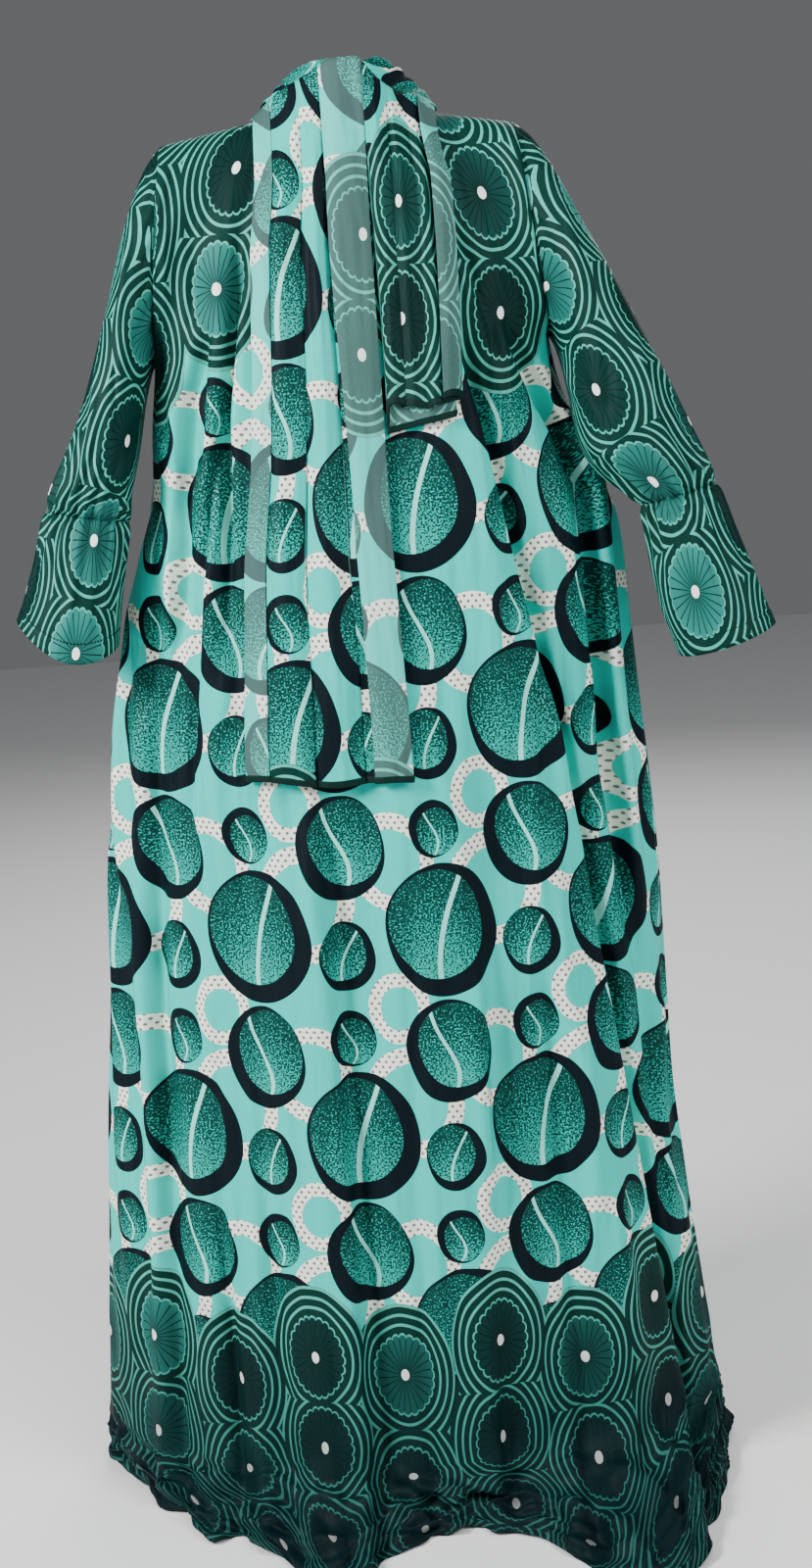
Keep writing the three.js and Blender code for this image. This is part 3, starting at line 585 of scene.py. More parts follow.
@dataclass
class DressPanel:
    """Front or back of the dress, from the shoulders to the hem on the floor."""

    side: Side
    folds: Table
    lines: Table
    creases: Table
    hem: Table
    neck_drop: float
    columns: int
    yoke_rows: int = 34
    skirt_rows: int = 130
    pool_rows: int = 38

    @property
    def sign(self) -> float:
        """Gives -1 for the front and 1 for the back."""
        return -1.0 if self.side is Side.FRONT else 1.0

    def fold_stand(self, x: np.ndarray, height: np.ndarray, folds: Table | None = None) -> np.ndarray:
        """Sums the hanging folds at given places.

        Args:
            x: places across.
            height: heights above the floor.
            folds: the table that is summed, or none for the large folds.

        Returns:
            How far the cloth stands out there.
        """
        total = np.zeros(np.broadcast(x, height).shape)
        for fold in (folds or self.folds).rows():
            heights = [fold[name] for name in ("h3", "h2", "h1")]
            places = [fold[name] for name in ("x3", "x2", "x1")]
            line = np.interp(height, heights, places)
            top = smooth((fold["h1"] + 30 - height) / 130)
            ends_low = fold["h3"] <= POOL_HEIGHT
            low = 1.0 if ends_low else smooth((height - fold["h3"] + 30) / 200)
            total += fold["stand"] * np.exp(-(((x - line) / fold["breadth"]) ** 2)) * top * low
        return total

    def skirt(self, across: np.ndarray, height: np.ndarray) -> np.ndarray:
        """Gives points of the hanging cloth below the underarm.

        Args:
            across: share across the panel, -1 to 1.
            height: heights above the floor.

        Returns:
            Points in millimetres.
        """
        turn = across * math.pi / 2
        left = OUTLINE.at("height", "left", height)
        right = OUTLINE.at("height", "right", height)
        half = np.where(across < 0, left, right)
        cosine = np.maximum(np.cos(turn), 0)
        x = half * np.sin(turn)
        depth = OUTLINE.at("height", self.side.value, height) * cosine ** OUTLINE.at("height", "bend", height)
        y = depth + self.fold_stand(x, height) * smooth(cosine / 0.55)
        return np.stack([x, self.sign * y, np.broadcast_to(height, x.shape)], axis=-1)

    def yoke(self, across: np.ndarray, share: np.ndarray) -> np.ndarray:
        """Gives points from the shoulder line, at share 0, down to the underarm, at share 1.

        Args:
            across: share across the panel, -1 to 1.
            share: share of the way down.

        Returns:
            Points in millimetres.
        """
        sine = np.sin(across * math.pi / 2)
        cosine = np.maximum(np.cos(across * math.pi / 2), 0)
        x = blend(SHOULDER_HALF, UNDERARM_HALF, share) * sine
        height = blend(shoulder_top(SHOULDER_HALF * sine), UNDERARM_HEIGHT, share)
        turn = np.arccos(np.clip(1 - 2 * share, -1, 1))
        edge = ARMHOLE_DEPTH * np.sin(turn)
        depth = OUTLINE.at("height", self.side.value, UNDERARM_HEIGHT) * np.sin(turn / 2) ** 0.9
        stand = self.fold_stand(x, height) * smooth(cosine / 0.55) * smooth(share * 3)
        y = depth * cosine + edge * np.abs(sine) ** (6 + 14 * share * share) + stand
        return np.stack([x, self.sign * y, height], axis=-1)

    def pool(self, across: np.ndarray, along: np.ndarray) -> np.ndarray:
        """Gives points of the cloth that breaks at the floor and lies out to the hem.

        Args:
            across: share across the panel, -1 to 1.
            along: share of the way from the last standing row to the hem.

        Returns:
            Points in millimetres.
        """
        base = self.skirt(across, np.full_like(across, POOL_HEIGHT))
        hem = np.stack([self.hem.at("across", "x", across), self.hem.at("across", "y", across)], axis=-1)
        spread = np.linalg.norm(hem - base[..., :2], axis=-1)
        much = smooth((spread - 20) / 120)
        half = np.where(across < 0, POOL_LEFT, POOL_RIGHT)
        out = np.stack([base[..., 0] / half**2, base[..., 1] / POOL_DEEP**2], axis=-1)
        out /= np.maximum(np.linalg.norm(out, axis=-1, keepdims=True), 1e-9)
        rest = 0.35 + 0.65 * np.cos(across * math.pi / 2)
        buckle = (1 - much) * POOL.at("along", "buckle", along) * rest
        wave = 1 + 0.12 * np.sin(across * 21 + along * 4) * (1 - along) * smooth(along * 6)
        low = POOL.at("along", "buckle_high", along)
        swell = 0.9 + 0.16 * much * smooth(along * 6) + 0.1 * smooth(1 - along * 6)
        high = POOL.at("along", "high", along) * swell
        flat = blend(base[..., :2], hem, along[..., None]) + buckle[..., None] * out
        return np.concatenate([flat, (blend(low, high, much) * wave)[..., None]], axis=-1)

    def grid(self) -> tuple[np.ndarray, np.ndarray]:
        """Lays the whole panel out as a grid.

        Returns:
            The points, and each point's place in the flat print.
        """
        across = np.linspace(-1, 1, self.columns)
        if self.side is Side.BACK:
            across = across[::-1]
        step = np.linspace(0, 1, self.yoke_rows)
        neck = np.sin(across * math.pi / 2) / math.sin(NECK_SHARE * math.pi / 2)
        start = np.where(
            np.abs(across) < NECK_SHARE,
            self.neck_drop * np.sqrt(np.maximum(1 - neck * neck, 0)),
            0.0,
        )
        fall = (1 - np.cos(math.pi * step))[:, None] / 2
        share = start + (1 - start) * fall
        wide = np.broadcast_to(across, share.shape)
        upper = self.yoke(wide, share)
        heights = np.linspace(UNDERARM_HEIGHT, POOL_HEIGHT, self.skirt_rows + 1)[1:]
        height_grid = np.repeat(heights[:, None], self.columns, axis=1)
        middle = self.skirt(np.broadcast_to(across, height_grid.shape), height_grid)
        along = np.linspace(0, 1, self.pool_rows + 1)[1:] ** 0.85
        along_grid = np.repeat(along[:, None], self.columns, axis=1)
        lower = self.pool(np.broadcast_to(across, along_grid.shape), along_grid)
        points = np.concatenate([upper, middle, lower])
        weight = np.ones(points.shape[:2])
        weight[: self.yoke_rows - 4] = 0
        points = soften(points, 14, 0, weight)
        ease = smooth((1 - np.abs(across)) / 0.05)
        points[self.yoke_rows:] = soften(points[self.yoke_rows:], 5, 1)
        flat = self.flat_places(points)
        relief = self.relief(flat, points, ease)
        points = points + grid_normals(points, False) * relief[..., None]
        points[:, 0] += [0, self.sign * SEAM_GAP / 2, 0]
        points[:, -1] += [0, self.sign * SEAM_GAP / 2, 0]
        points[..., 2] = np.maximum(points[..., 2], CLOTH_WALL * 0.8)
        return points, flat

    def flat_places(self, points: np.ndarray) -> np.ndarray:
        """Gives each point its place in the flat print: across from the middle, and height.

        Args:
            points: the panel's grid.

        Returns:
            Places in millimetres, with cloth on the floor counted on past its lowest row.
        """
        walked = flat_lengths(points, 1)
        middle = walked[:, self.columns // 2][:, None]
        across = (walked - middle) * (1.0 if self.side is Side.FRONT else -1.0)
        first = self.yoke_rows + self.skirt_rows
        down = points[..., 2] - ORIGIN_HEIGHT
        run = flat_lengths(points[first - 1:], 0)[1:]
        total = np.maximum(run[-1], 1e-6)
        down[first:] = POOL_HEIGHT - ORIGIN_HEIGHT - POOL_CLOTH * run / total
        return np.stack([across, down], axis=-1)

    def drape(self, u: np.ndarray, height: np.ndarray) -> np.ndarray:
        """Gives the soft upright waves that fill the cloth between its large folds.

        Args:
            u: places across the flat cloth.
            height: heights above the floor.

        Returns:
            How far each point stands out, about -1 to 1.
        """
        wide = np.sin(u / 8.7 + 1.7 * np.sin(height / 230 + u / 90))
        narrow = np.sin(u / 4.8 + 2.1 * np.sin(height / 170 + self.sign))
        first = 0.5 + 0.5 * np.sin(u / 61 + height / 340 + self.sign)
        second = 0.5 + 0.5 * np.sin(u / 43 - height / 260)
        return wide * first + 0.45 * narrow * second

    def relief(self, flat: np.ndarray, points: np.ndarray, ease: np.ndarray) -> np.ndarray:
        """Sums creases on the hanging cloth and crumples on the floor.

        Args:
            flat: places in the flat print.
            points: the panel's grid.
            ease: 0 at the side seams and 1 inside them.

        Returns:
            How far each point stands out.
        """
        u = flat[..., 0]
        height = flat[..., 1] + ORIGIN_HEIGHT
        rows = list(zip(*self.creases.data.values()))
        total = CREASE_DEPTH * line_relief(u, height, rows)
        total += LINE_DEPTH * self.fold_stand(points[..., 0], np.maximum(height, POOL_HEIGHT), self.lines)
        total += DRAPE * self.drape(u, height)
        near_floor = smooth((230 - height) / 170)
        lying = smooth((POOL_HEIGHT - height) / 30) * smooth((height + POOL_CLOTH - POOL_HEIGHT) / 24)
        ripple = (
            1.6 * np.sin(u / 17 + 2.2 * np.sin(height / 29))
            + 1.2 * np.sin(u / 10.5 - height / 21 + 1.3)
        )
        crumple = (
            4.5 * (1 - 2 * np.abs(np.sin(u / 33 + height / 19 + 1.6 * np.sin(u / 47))))
            + 3.4 * (1 - 2 * np.abs(np.sin(u / 21 - height / 13 + 0.7 + 0.8 * np.sin(height / 17))))
            + 1.6 * np.sin(u / 9 + height / 12)
        )
        total = total + near_floor * (1 - lying) * ripple * 0.7 + lying * crumple
        total[: self.yoke_rows] *= smooth(np.linspace(0, 4, self.yoke_rows))[:, None]
        top_edge = smooth((SHOULDER_HEIGHT - 8 - points[..., 2]) / 30)
        return total * ease * top_edge

    def build(self, finish: "Finish") -> None:
        """Args:
            finish: its printed finish.
        """
        points, flat = self.grid()
        thing = Cloth(f"cloth_dress_{self.side.value}", points, flat).build(finish.right, finish.wrong)
        declare(thing, f"dress_{self.side.value}")


def shoulder_top(x: np.ndarray) -> np.ndarray:
    """Gives the height of the shoulder line at a place across."""
    return SHOULDER_HEIGHT + NECK_RISE * (SHOULDER_HALF - np.abs(x)) / (SHOULDER_HALF - NECK_HALF)


def declare(
    thing: bpy.types.Object,
    node: str,
) -> None:
    """Ties a cloth piece to its solid and its cut.

    Args:
        thing: the cloth piece.
        node: the solid it stands for.
    """
    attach(thing, "root")
    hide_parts(node)
    LOG.info("%s stands for %s with %d faces", thing.name, node, len(thing.data.polygons))


@dataclass
class Sleeve:
    """One sleeve tube and the flared cuff below its gathered line."""

    hand: str
    upper: Table
    lower: Table
    columns: int = 128
    sleeve_rows: int = 90
    cuff_rows: int = 44
    hem_depth: float = 17.0
    crease_round: float = 380.0

    @property
    def sign(self) -> float:
        """Gives -1 for the viewer's left and 1 for the right."""
        return -1.0 if self.hand == "left" else 1.0

    def tube(self, rings: Table, rows: int) -> np.ndarray:
        """Lays a tube through a table of rings.

        Args:
            rings: the ring table.
            rows: how many rows the grid gets.

        Returns:
            Grid of points, rows by columns.
        """
        share = np.linspace(0, 1, rows)
        read = {name: rings.along(name, share)[:, None] for name in rings.names}
        turn = 2 * math.pi * np.arange(self.columns)[None, :] / self.columns
        middle = np.concatenate([
            self.sign * (read["out_x"] + read["in_x"]) / 2,
            -read["forward"],
            (read["out_h"] + read["in_h"]) / 2,
        ], axis=1)[:, None, :]
        up = np.concatenate([
            self.sign * (read["out_x"] - read["in_x"]) / 2,
            np.zeros_like(read["deep"]),
            (read["out_h"] - read["in_h"]) / 2,
        ], axis=1)[:, None, :]
        radial = up * np.cos(turn)[..., None]
        radial = radial + np.array([0, -1.0, 0]) * (read["deep"] * np.sin(turn))[..., None]
        unit = radial / np.linalg.norm(radial, axis=2, keepdims=True)
        drop = np.where(np.sin(turn) > 0, read["drop_front"], read["drop_back"]) * np.sin(turn) ** 2
        shake = 0.35 * np.sin(turn * 3 + 1) + 0.25 * np.sin(turn * 5)
        pleat = read["gather"] * np.cos(GATHERS * turn + shake)
        points = middle + radial + unit * pleat[..., None]
        points[..., 2] -= drop
        return points

    def build(self, finish: "Finish", sewing: "Sewing") -> None:
        """Args:
            finish: their printed finish.
            sewing: the maker of the hem's stitches.
        """
        arm = soften(self.tube(self.upper, self.sleeve_rows), 10, 0)
        mouth = soften(self.tube(self.lower, self.cuff_rows), 8, 0)
        whole = np.concatenate([arm, mouth[1:]])
        normals = grid_normals(whole, True)
        centre = whole.mean(axis=1, keepdims=True)
        outward = np.sign(np.sum(normals * (whole - centre), axis=2).mean())
        normals = normals * outward
        relief = self.relief(whole)
        whole = whole + normals * relief[..., None]
        flip = outward < 0
        arm = whole[: self.sleeve_rows]
        mouth = whole[self.sleeve_rows - 1:].copy()
        mouth[0] += (mouth[1] - mouth[0]) * 0.15
        flat = self.flat_places(whole)
        arm_flat = flat[: self.sleeve_rows]
        mouth_flat = flat[self.sleeve_rows - 1:]
        sleeve = self.cloth(f"cloth_sleeve_{self.hand}", arm, arm_flat, flip, finish)
        declare(sleeve, f"sleeve_{self.hand}")
        cuff = self.cloth(f"cloth_cuff_{self.hand}", mouth, mouth_flat, flip, finish)
        hem_line = self.hem_line(mouth, normals[self.sleeve_rows - 1:])
        sewing.along(f"stitches_cuff_{self.hand}", hem_line)
        declare(cuff, f"cuff_{self.hand}")

    def cloth(
        self, name: str, points: np.ndarray, flat: np.ndarray, flip: bool, finish: "Finish",
    ) -> bpy.types.Object:
        """Makes one tube, turned right side out.

        Args:
            name: the piece's name.
            points: its grid.
            flat: its places in the print, with one more column than points.
            flip: true where the columns run the wrong way round.
            finish: its printed finish.

        Returns:
            The tube.
        """
        points = np.roll(points, self.columns // 2, axis=1)
        if flip:
            points = np.roll(points[:, ::-1], 1, axis=1)
            flat = flat[:, ::-1]
        return Cloth(name, points, flat, closed=True).build(finish.right, finish.wrong)

    def flat_places(self, points: np.ndarray) -> np.ndarray:
        """Gives each point its place in the flat print, gathered cloth keeping its full width.

        Args:
            points: grid of the sleeve and cuff together.

        Returns:
            Places in millimetres from the inner seam round to itself, one column more than the points.
        """
        points = np.roll(points, self.columns // 2, axis=1)
        axis = points[self.sleeve_rows - 1].mean(axis=0) - points[0].mean(axis=0)
        axis /= np.linalg.norm(axis)
        along = points @ axis
        ring = points - along[..., None] * axis
        steps = np.linalg.norm(np.roll(ring, -1, axis=1) - ring, axis=2)
        walked = np.concatenate([np.zeros((len(points), 1)), np.cumsum(steps, axis=1)], axis=1)
        around = walked[:, -1:]
        u = (walked / around - 0.5) * np.maximum.accumulate(around, axis=0)
        v = along[0, 0] - np.concatenate([along, along[:, :1]], axis=1)
        return np.stack([u, v], axis=-1)

    def relief(self, points: np.ndarray) -> np.ndarray:
        """Sums the creases, the pinched line, seam puckers and the turned hem.

        Args:
            points: grid of the sleeve and cuff together.

        Returns:
            How far each point stands out.
        """
        rows = len(points)
        down = flat_lengths(points, 0).mean(axis=1, keepdims=True)
        turn = np.arange(self.columns)[None, :] / self.columns
        total = np.zeros((rows, self.columns))
        arm_length = float(down[self.sleeve_rows - 1, 0])
        around = self.crease_round
        for row in SLEEVE_CREASES.rows():
            ends = (
                row["turn1"] * around, row["down1"] * arm_length,
                row["turn2"] * around, row["down2"] * arm_length,
                row["breadth"], row["stand"],
            )
            total += line_relief(turn * around + 0 * down, down + 0 * turn, [ends])
        angle = turn * 2 * math.pi
        total -= 3.2 * np.exp(-(((down - arm_length) / 6.5) ** 2))
        ruffle = np.cos(2 * GATHERS * angle + 1.4 * np.sin(3 * angle))
        total += 0.9 * ruffle * np.exp(-(((down - arm_length) / 26) ** 2))
        pucker = np.cos(23 * angle + 1.1 * np.sin(4 * angle))
        total += 1.1 * pucker * np.exp(-((down - 10) / 14) ** 2) * smooth(down / 8)
        length = float(down[-1, 0])
        hem = smooth((down - (length - self.hem_depth)) / 1.6)
        groove = np.exp(-(((down - (length - self.hem_depth)) / 2.2) ** 2))
        cuff_wave = 1.6 * np.sin(angle * 3 + 0.8) * smooth((down - arm_length - 30) / 60)
        total += 0.5 * hem - 0.7 * groove + cuff_wave
        return total * smooth(down / 6)

    def hem_line(self, points: np.ndarray, normals: np.ndarray) -> tuple[np.ndarray, np.ndarray]:
        """Finds the stitch line above the cuff's edge.

        Args:
            points: the cuff's grid.
            normals: its outward normals.

        Returns:
            Points of the line just over the cloth, and the normals there.
        """
        walked = flat_lengths(points, 0).mean(axis=1)
        place = int(np.argmin(np.abs(walked - (walked[-1] - self.hem_depth))))
        line = points[place] + normals[place] * (CLOTH_WALL / 2)
        closed = np.concatenate([line, line[:1]])
        return closed, np.concatenate([normals[place], normals[place][:1]])


@dataclass
class Sewing:
    """Thread work: short stitches along a line and the bound edges of the scarf."""

    material: bpy.types.Material
    stitch_length: float = 2.6
    stitch_pitch: float = 3.6
    thread: float = 0.42
    bind_length: float = 7.2
    bind_pitch: float = 1.7
    bind_thread: float = 1.2

    def stitch(self, length: float, thickness: float) -> tuple[np.ndarray, np.ndarray]:
        """Models one stitch as a small rounded bar along X.

        Args:
            length: its length in millimetres.
            thickness: its half thickness in millimetres.

        Returns:
            Its vertices and its four-cornered and end faces as an index list.
        """
        bpy.ops.object.select_all(action="DESELECT")
        bpy.ops.mesh.primitive_cube_add(size=1.0, location=(0, 0, 0))
        bar = bpy.context.object
        bar.scale = (length * 0.6, thickness * 2, thickness * 2)
        bpy.ops.object.transform_apply(location=False, rotation=False, scale=True)
        bpy.ops.object.mode_set(mode="EDIT")
        bpy.ops.mesh.select_all(action="DESELECT")
        bpy.ops.object.mode_set(mode="OBJECT")
        for face in bar.data.polygons:
            face.select = abs(face.normal.x) > 0.9
        bpy.ops.object.mode_set(mode="EDIT")
        bpy.ops.mesh.select_mode(type="FACE")
        bpy.ops.mesh.inset(thickness=thickness * 0.35, depth=length * 0.2, use_individual=True)
        bpy.ops.object.mode_set(mode="OBJECT")
        points = np.array([tuple(v.co) for v in bar.data.vertices])
        faces = np.array([tuple(f.vertices) for f in bar.data.polygons])
        bpy.data.objects.remove(bar, do_unlink=True)
        return points, faces

    def place(
        self,
        name: str,
        spots: np.ndarray,
        forward: np.ndarray,
        up: np.ndarray,
        bar: tuple[np.ndarray, np.ndarray],
    ) -> None:
        """Copies one stitch to many spots as one mesh.

        Args:
            name: the piece's name.
            spots: middle of each stitch in millimetres.
            forward: unit direction of each stitch.
            up: unit direction away from the cloth.
            bar: the stitch's vertices and faces.
        """
        points, faces = bar
        side = unit_rows(np.cross(up, forward))
        basis = np.stack([forward, side, np.cross(forward, side)], axis=1)
        placed = np.einsum("pk,nkc->npc", points, basis) + spots[:, None, :]
        placed = (placed - np.array([0, 0, ORIGIN_HEIGHT])) * 0.001
        count = len(points)
        all_faces = (faces[None] + np.arange(len(spots))[:, None, None] * count).reshape(-1, faces.shape[1])
        mesh = bpy.data.meshes.new(name)
        mesh.from_pydata(placed.reshape(-1, 3).tolist(), [], all_faces.tolist())
        mesh.materials.append(self.material)
        thing = bpy.data.objects.new(name, mesh)
        bpy.context.collection.objects.link(thing)
        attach(thing, "root")
        LOG.info("%s has %d stitches", name, len(spots))

    def along(self, name: str, line: tuple[np.ndarray, np.ndarray]) -> None:
        """Sews a running line of stitches.

        Args:
            name: the piece's name.
            line: points of the line and the normals there.
        """
        spots, forward, up = walk_line(*line, self.stitch_pitch)
        self.place(name, spots, forward, up, self.stitch(self.stitch_length, self.thread))

    def bind(self, name: str, line: tuple[np.ndarray, np.ndarray]) -> None:
        """Binds a cut edge with close loops of thread across it.

        Args:
            name: the piece's name.
            line: points along the edge and the directions down off it.
        """
        spots, forward, down = walk_line(*line, self.bind_pitch)
        lean = down + forward * 0.35
        lean /= np.linalg.norm(lean, axis=1, keepdims=True)
        loop = self.stitch(self.bind_length, self.bind_thread)
        self.place(name, spots, lean, np.cross(forward, down), loop)


def read_line(points: np.ndarray, walked: np.ndarray, places: np.ndarray) -> np.ndarray:
    """Reads points of a line at given lengths walked along it."""
    return np.stack([np.interp(places, walked, points[:, k]) for k in range(3)], axis=1)


def unit_rows(vectors: np.ndarray) -> np.ndarray:
    """Brings each row to unit length."""
    return vectors / np.maximum(np.linalg.norm(vectors, axis=1, keepdims=True), 1e-9)


def walk_line(
    points: np.ndarray, normals: np.ndarray, pitch: float,
) -> tuple[np.ndarray, np.ndarray, np.ndarray]:
    """Steps evenly along a line.

    Args:
        points: points of the line.
        normals: a direction at each point.
        pitch: distance between steps in millimetres.

    Returns:
        The spots, the unit direction along the line and the direction read at each.
    """
    steps = np.linalg.norm(np.diff(points, axis=0), axis=1)
    walked = np.concatenate([[0], np.cumsum(steps)])
    places = np.arange(pitch / 2, walked[-1], pitch)
    ahead = read_line(points, walked, places + 0.8)
    behind = read_line(points, walked, places - 0.8)
    read = read_line(normals, walked, places)
    return read_line(points, walked, places), unit_rows(ahead - behind), unit_rows(read)


@dataclass
class ScarfEnd:
    """One hanging end of the scarf, folded in layers."""

    name: str
    node: str
    slot: str
    section: Table
    edges: Table
    top_left: float
    top_right: float
    bottom_left: float
    bottom_right: float
    back_bottom: float
    tuck: float
    hidden: float
    flat: tuple[float, float]
    area: float
    columns: int
    rows: int

    def grid(self, dress: DressPanel) -> np.ndarray:
        """Lays the folded end over the front of the dress.

        Args:
            dress: the front panel that it lies on.

        Returns:
            Grid of points.
        """
        share = np.linspace(0, 1, self.columns)
        at_top = self.section.along("top", share)[None, :]
        at_foot = self.section.along("across", share)[None, :]
        layer = self.section.along("layer", share)[None, :]
        pleat = self.section.along("pleat", share)[None, :]
        down = np.linspace(0, 1, self.rows)[:, None]
        across = blend(at_top, at_foot, smooth(down * 1.2))
        top_x = blend(self.top_left, self.top_right, across)
        line = TOP_LINE.at("x", "height", top_x)
        behind = share[None, :] < self.hidden
        hangs = self.back_bottom > 0
        bottom = blend(self.bottom_left, self.bottom_right, across) + 3 * np.sin(across * 8 + 0.6)
        if hangs:
            bottom = np.where(behind, self.back_bottom + 14 * across, bottom + 4 * layer)
        start = line - (self.tuck * behind if hangs else 0)
        height = blend(start, bottom, down)
        left = self.edges.at("height", "left", height)
        right = self.edges.at("height", "right", height)
        settle = smooth((line - height) / 90)
        x = blend(top_x, blend(left, right, across), settle)
        stand = layer * LAYER + pleat * (0.75 + 0.35 * np.cos(down * 2.4))
        stand = stand * blend(0.35, 1.0, smooth(down * 5))
        y = scarf_front(dress, x, height, np.broadcast_to(line, height.shape)) - stand
        points = np.stack([x, y, height], axis=-1)
        points = soften(points, 4, 1)
        walked = flat_lengths(points, 1)
        ripple = 0.8 * np.sin(walked / 9 + 1.5 * np.sin(height / 60)) * smooth(down * 4)
        normals = grid_normals(points, False)
        inside = smooth((across - 0.16) * 12) * smooth((0.84 - across) * 12)
        return points + normals * (ripple * inside)[..., None]

    def build(self, dress: DressPanel, finish: "Finish", sewing: Sewing) -> np.ndarray:
        """Args:
            dress: the front panel that it lies on.
            finish: its printed finish.
            sewing: the maker of its bound edge.

        Returns:
            Its grid.
        """
        points = self.grid(dress)
        walked = flat_lengths(points, 1)
        shown = walked - walked[:, self.columns // 2][:, None]
        flat = np.stack([shown, points[..., 2] - ORIGIN_HEIGHT], axis=-1)
        thing = Cloth(self.name, points, flat).build(finish.right, finish.wrong)
        down = points[-1] - points[-4]
        down /= np.linalg.norm(down, axis=1, keepdims=True)
        sewing.bind(f"{self.name}_edge", (points[-1], down))
        declare(thing, self.node)
        return points


def scarf_front(dress: DressPanel, x: np.ndarray, height: np.ndarray, top: np.ndarray) -> np.ndarray:
    """Gives the surface that the scarf's ends hang in, clear of the dress.

    Args:
        dress: the front panel.
        x: places across.
        height: heights above the floor.
        top: height of the scarf's top line there.

    Returns:
        Places toward the front, in millimetres.
    """
    top_y = -TOP_LINE.at("x", "forward", x)
    fall = np.clip((top - height) / (top - CHEST_HEIGHT), 0, 1) ** 0.75
    chest = dress_front_at(dress, x, np.full_like(x, CHEST_HEIGHT)) - SCARF_CLEAR
    free = blend(top_y, chest, fall)
    laid = np.minimum(free, dress_front_at(dress, x, height) - SCARF_CLEAR)
    return np.where(height > shoulder_top(x) - 3, free, laid)


def dress_front_at(dress: DressPanel, x: np.ndarray, height: np.ndarray) -> np.ndarray:
    """Gives how far forward the dress lies at a place across and a height.

    Args:
        dress: the front panel.
        x: places across.
        height: heights above the floor.

    Returns:
        Places toward the front, in millimetres.
    """
    sine = x / SHOULDER_HALF
    share = np.zeros_like(x)
    for _ in range(4):
        top = shoulder_top(SHOULDER_HALF * sine)
        share = np.clip((top - height) / (top - UNDERARM_HEIGHT), 0, 1)
        sine = np.clip(x / blend(SHOULDER_HALF, UNDERARM_HALF, share), -1, 1)
    upper = dress.yoke(np.arcsin(sine) * 2 / math.pi, share)[..., 1]
    half = np.where(x < 0, OUTLINE.at("height", "left", height), OUTLINE.at("height", "right", height))
    lower = dress.skirt(np.arcsin(np.clip(x / half, -1, 1)) * 2 / math.pi, height)[..., 1]
    return np.where(height >= UNDERARM_HEIGHT, upper, lower)


@dataclass
class ScarfNeck:
    """The scarf's stretch round the back of the neck."""

    columns: int = 90
    rows: int = 110
    lead_rows: int = 14

    def build(self, long_end: np.ndarray, short_end: np.ndarray, finish: "Finish") -> None:
        """Args:
            long_end: grid of the long end.
            short_end: grid of the short end.
            finish: its printed finish.
        """
        share = np.linspace(0, 1, self.columns)
        start = resample(long_end[0], 0.11, 0.86, self.columns)
        last = resample(short_end[0], 0.78, 0.2, self.columns)
        pleat = NECK_PLEATS.at("across", "pleat", share)
        turn = np.linspace(0, 1, self.rows)[:, None]
        read = {name: NECK_PATH.along(name, turn) for name in NECK_PATH.names}
        base = np.stack([
            blend(read["out_x"], read["in_x"], share),
            blend(read["out_y"], read["in_y"], share),
            blend(read["out_h"], read["in_h"], share) + 6 * np.sin(math.pi * share),
        ], axis=-1)
        normals = grid_normals(base, False)
        up = np.where(normals[..., 2:] >= 0, 1.0, -1.0)
        points = base + normals * up * (pleat * 0.5)[None, :, None]
        head = np.linspace(start, points[0], self.lead_rows, endpoint=False)
        tail = np.linspace(points[-1], last, self.lead_rows + 1)[1:]
        points = soften(np.concatenate([head, points, tail]), 10, 0)
        points = soften(points, 3, 1)
        across = flat_lengths(points, 1)
        along = flat_lengths(points, 0).mean(axis=1, keepdims=True)
        flat = np.stack([across - across.mean(), along + 0 * across + 26.0], axis=-1)
        side = grid_normals(points, False)[..., 2].mean()
        if side < 0:
            points = points[:, ::-1]
            flat = flat[:, ::-1]
        thing = Cloth("cloth_scarf_neck", points, flat).build(finish.right, finish.wrong)
        declare(thing, "scarf_neck")


def resample(row: np.ndarray, first: float, last: float, count: int) -> np.ndarray:
    """Reads a stretch of a row of points at even steps.

    Args:
        row: the points.
        first: where the stretch starts, 0 to 1 along the row.
        last: where it ends.
        count: how many points are read.

    Returns:
        The points read.
    """
    places = np.linspace(first, last, count) * (len(row) - 1)
    return read_line(row, np.arange(len(row)), places)


def srgb(code: str) -> tuple[float, float, float, float]:
    """Turns a six-figure colour code into linear light with full cover.

    Args:
        code: two figures each for red, green and blue.

    Returns:
        Red, green, blue and cover.
    """
    values = [int(code[k:k + 2], 16) / 255 for k in (0, 2, 4)]
    linear = [v / 12.92 if v <= 0.04045 else ((v + 0.055) / 1.055) ** 2.4 for v in values]
    return (*linear, 1.0)


class Ink(Enum):
    """Colours of the print."""

    GROUND = "1dc8bb"
    # The rim ink is also mixed into the dress toward the hem as painted shade.
    RIM = "06141a"
    DISC_DARK = "063833"
    DISC_BRIGHT = "22a99b"
    VEIN = "8fe3d6"
    RING = "f3f5e7"
    DOT = "6f7a72"
    LEAF_GROUND = "043029"
    LINE = "4aac9d"
    PETAL_DARK = "032824"
    PETAL_LIGHT = "2b877d"
    PETAL_RIB = "021413"
    HEART = "f8faf6"
    WRONG = "9ed8d0"
    THREAD = "05231f"

    @property
    def light(self) -> tuple[float, float, float, float]:
        """Gives the colour in linear light."""
        return srgb(self.value)


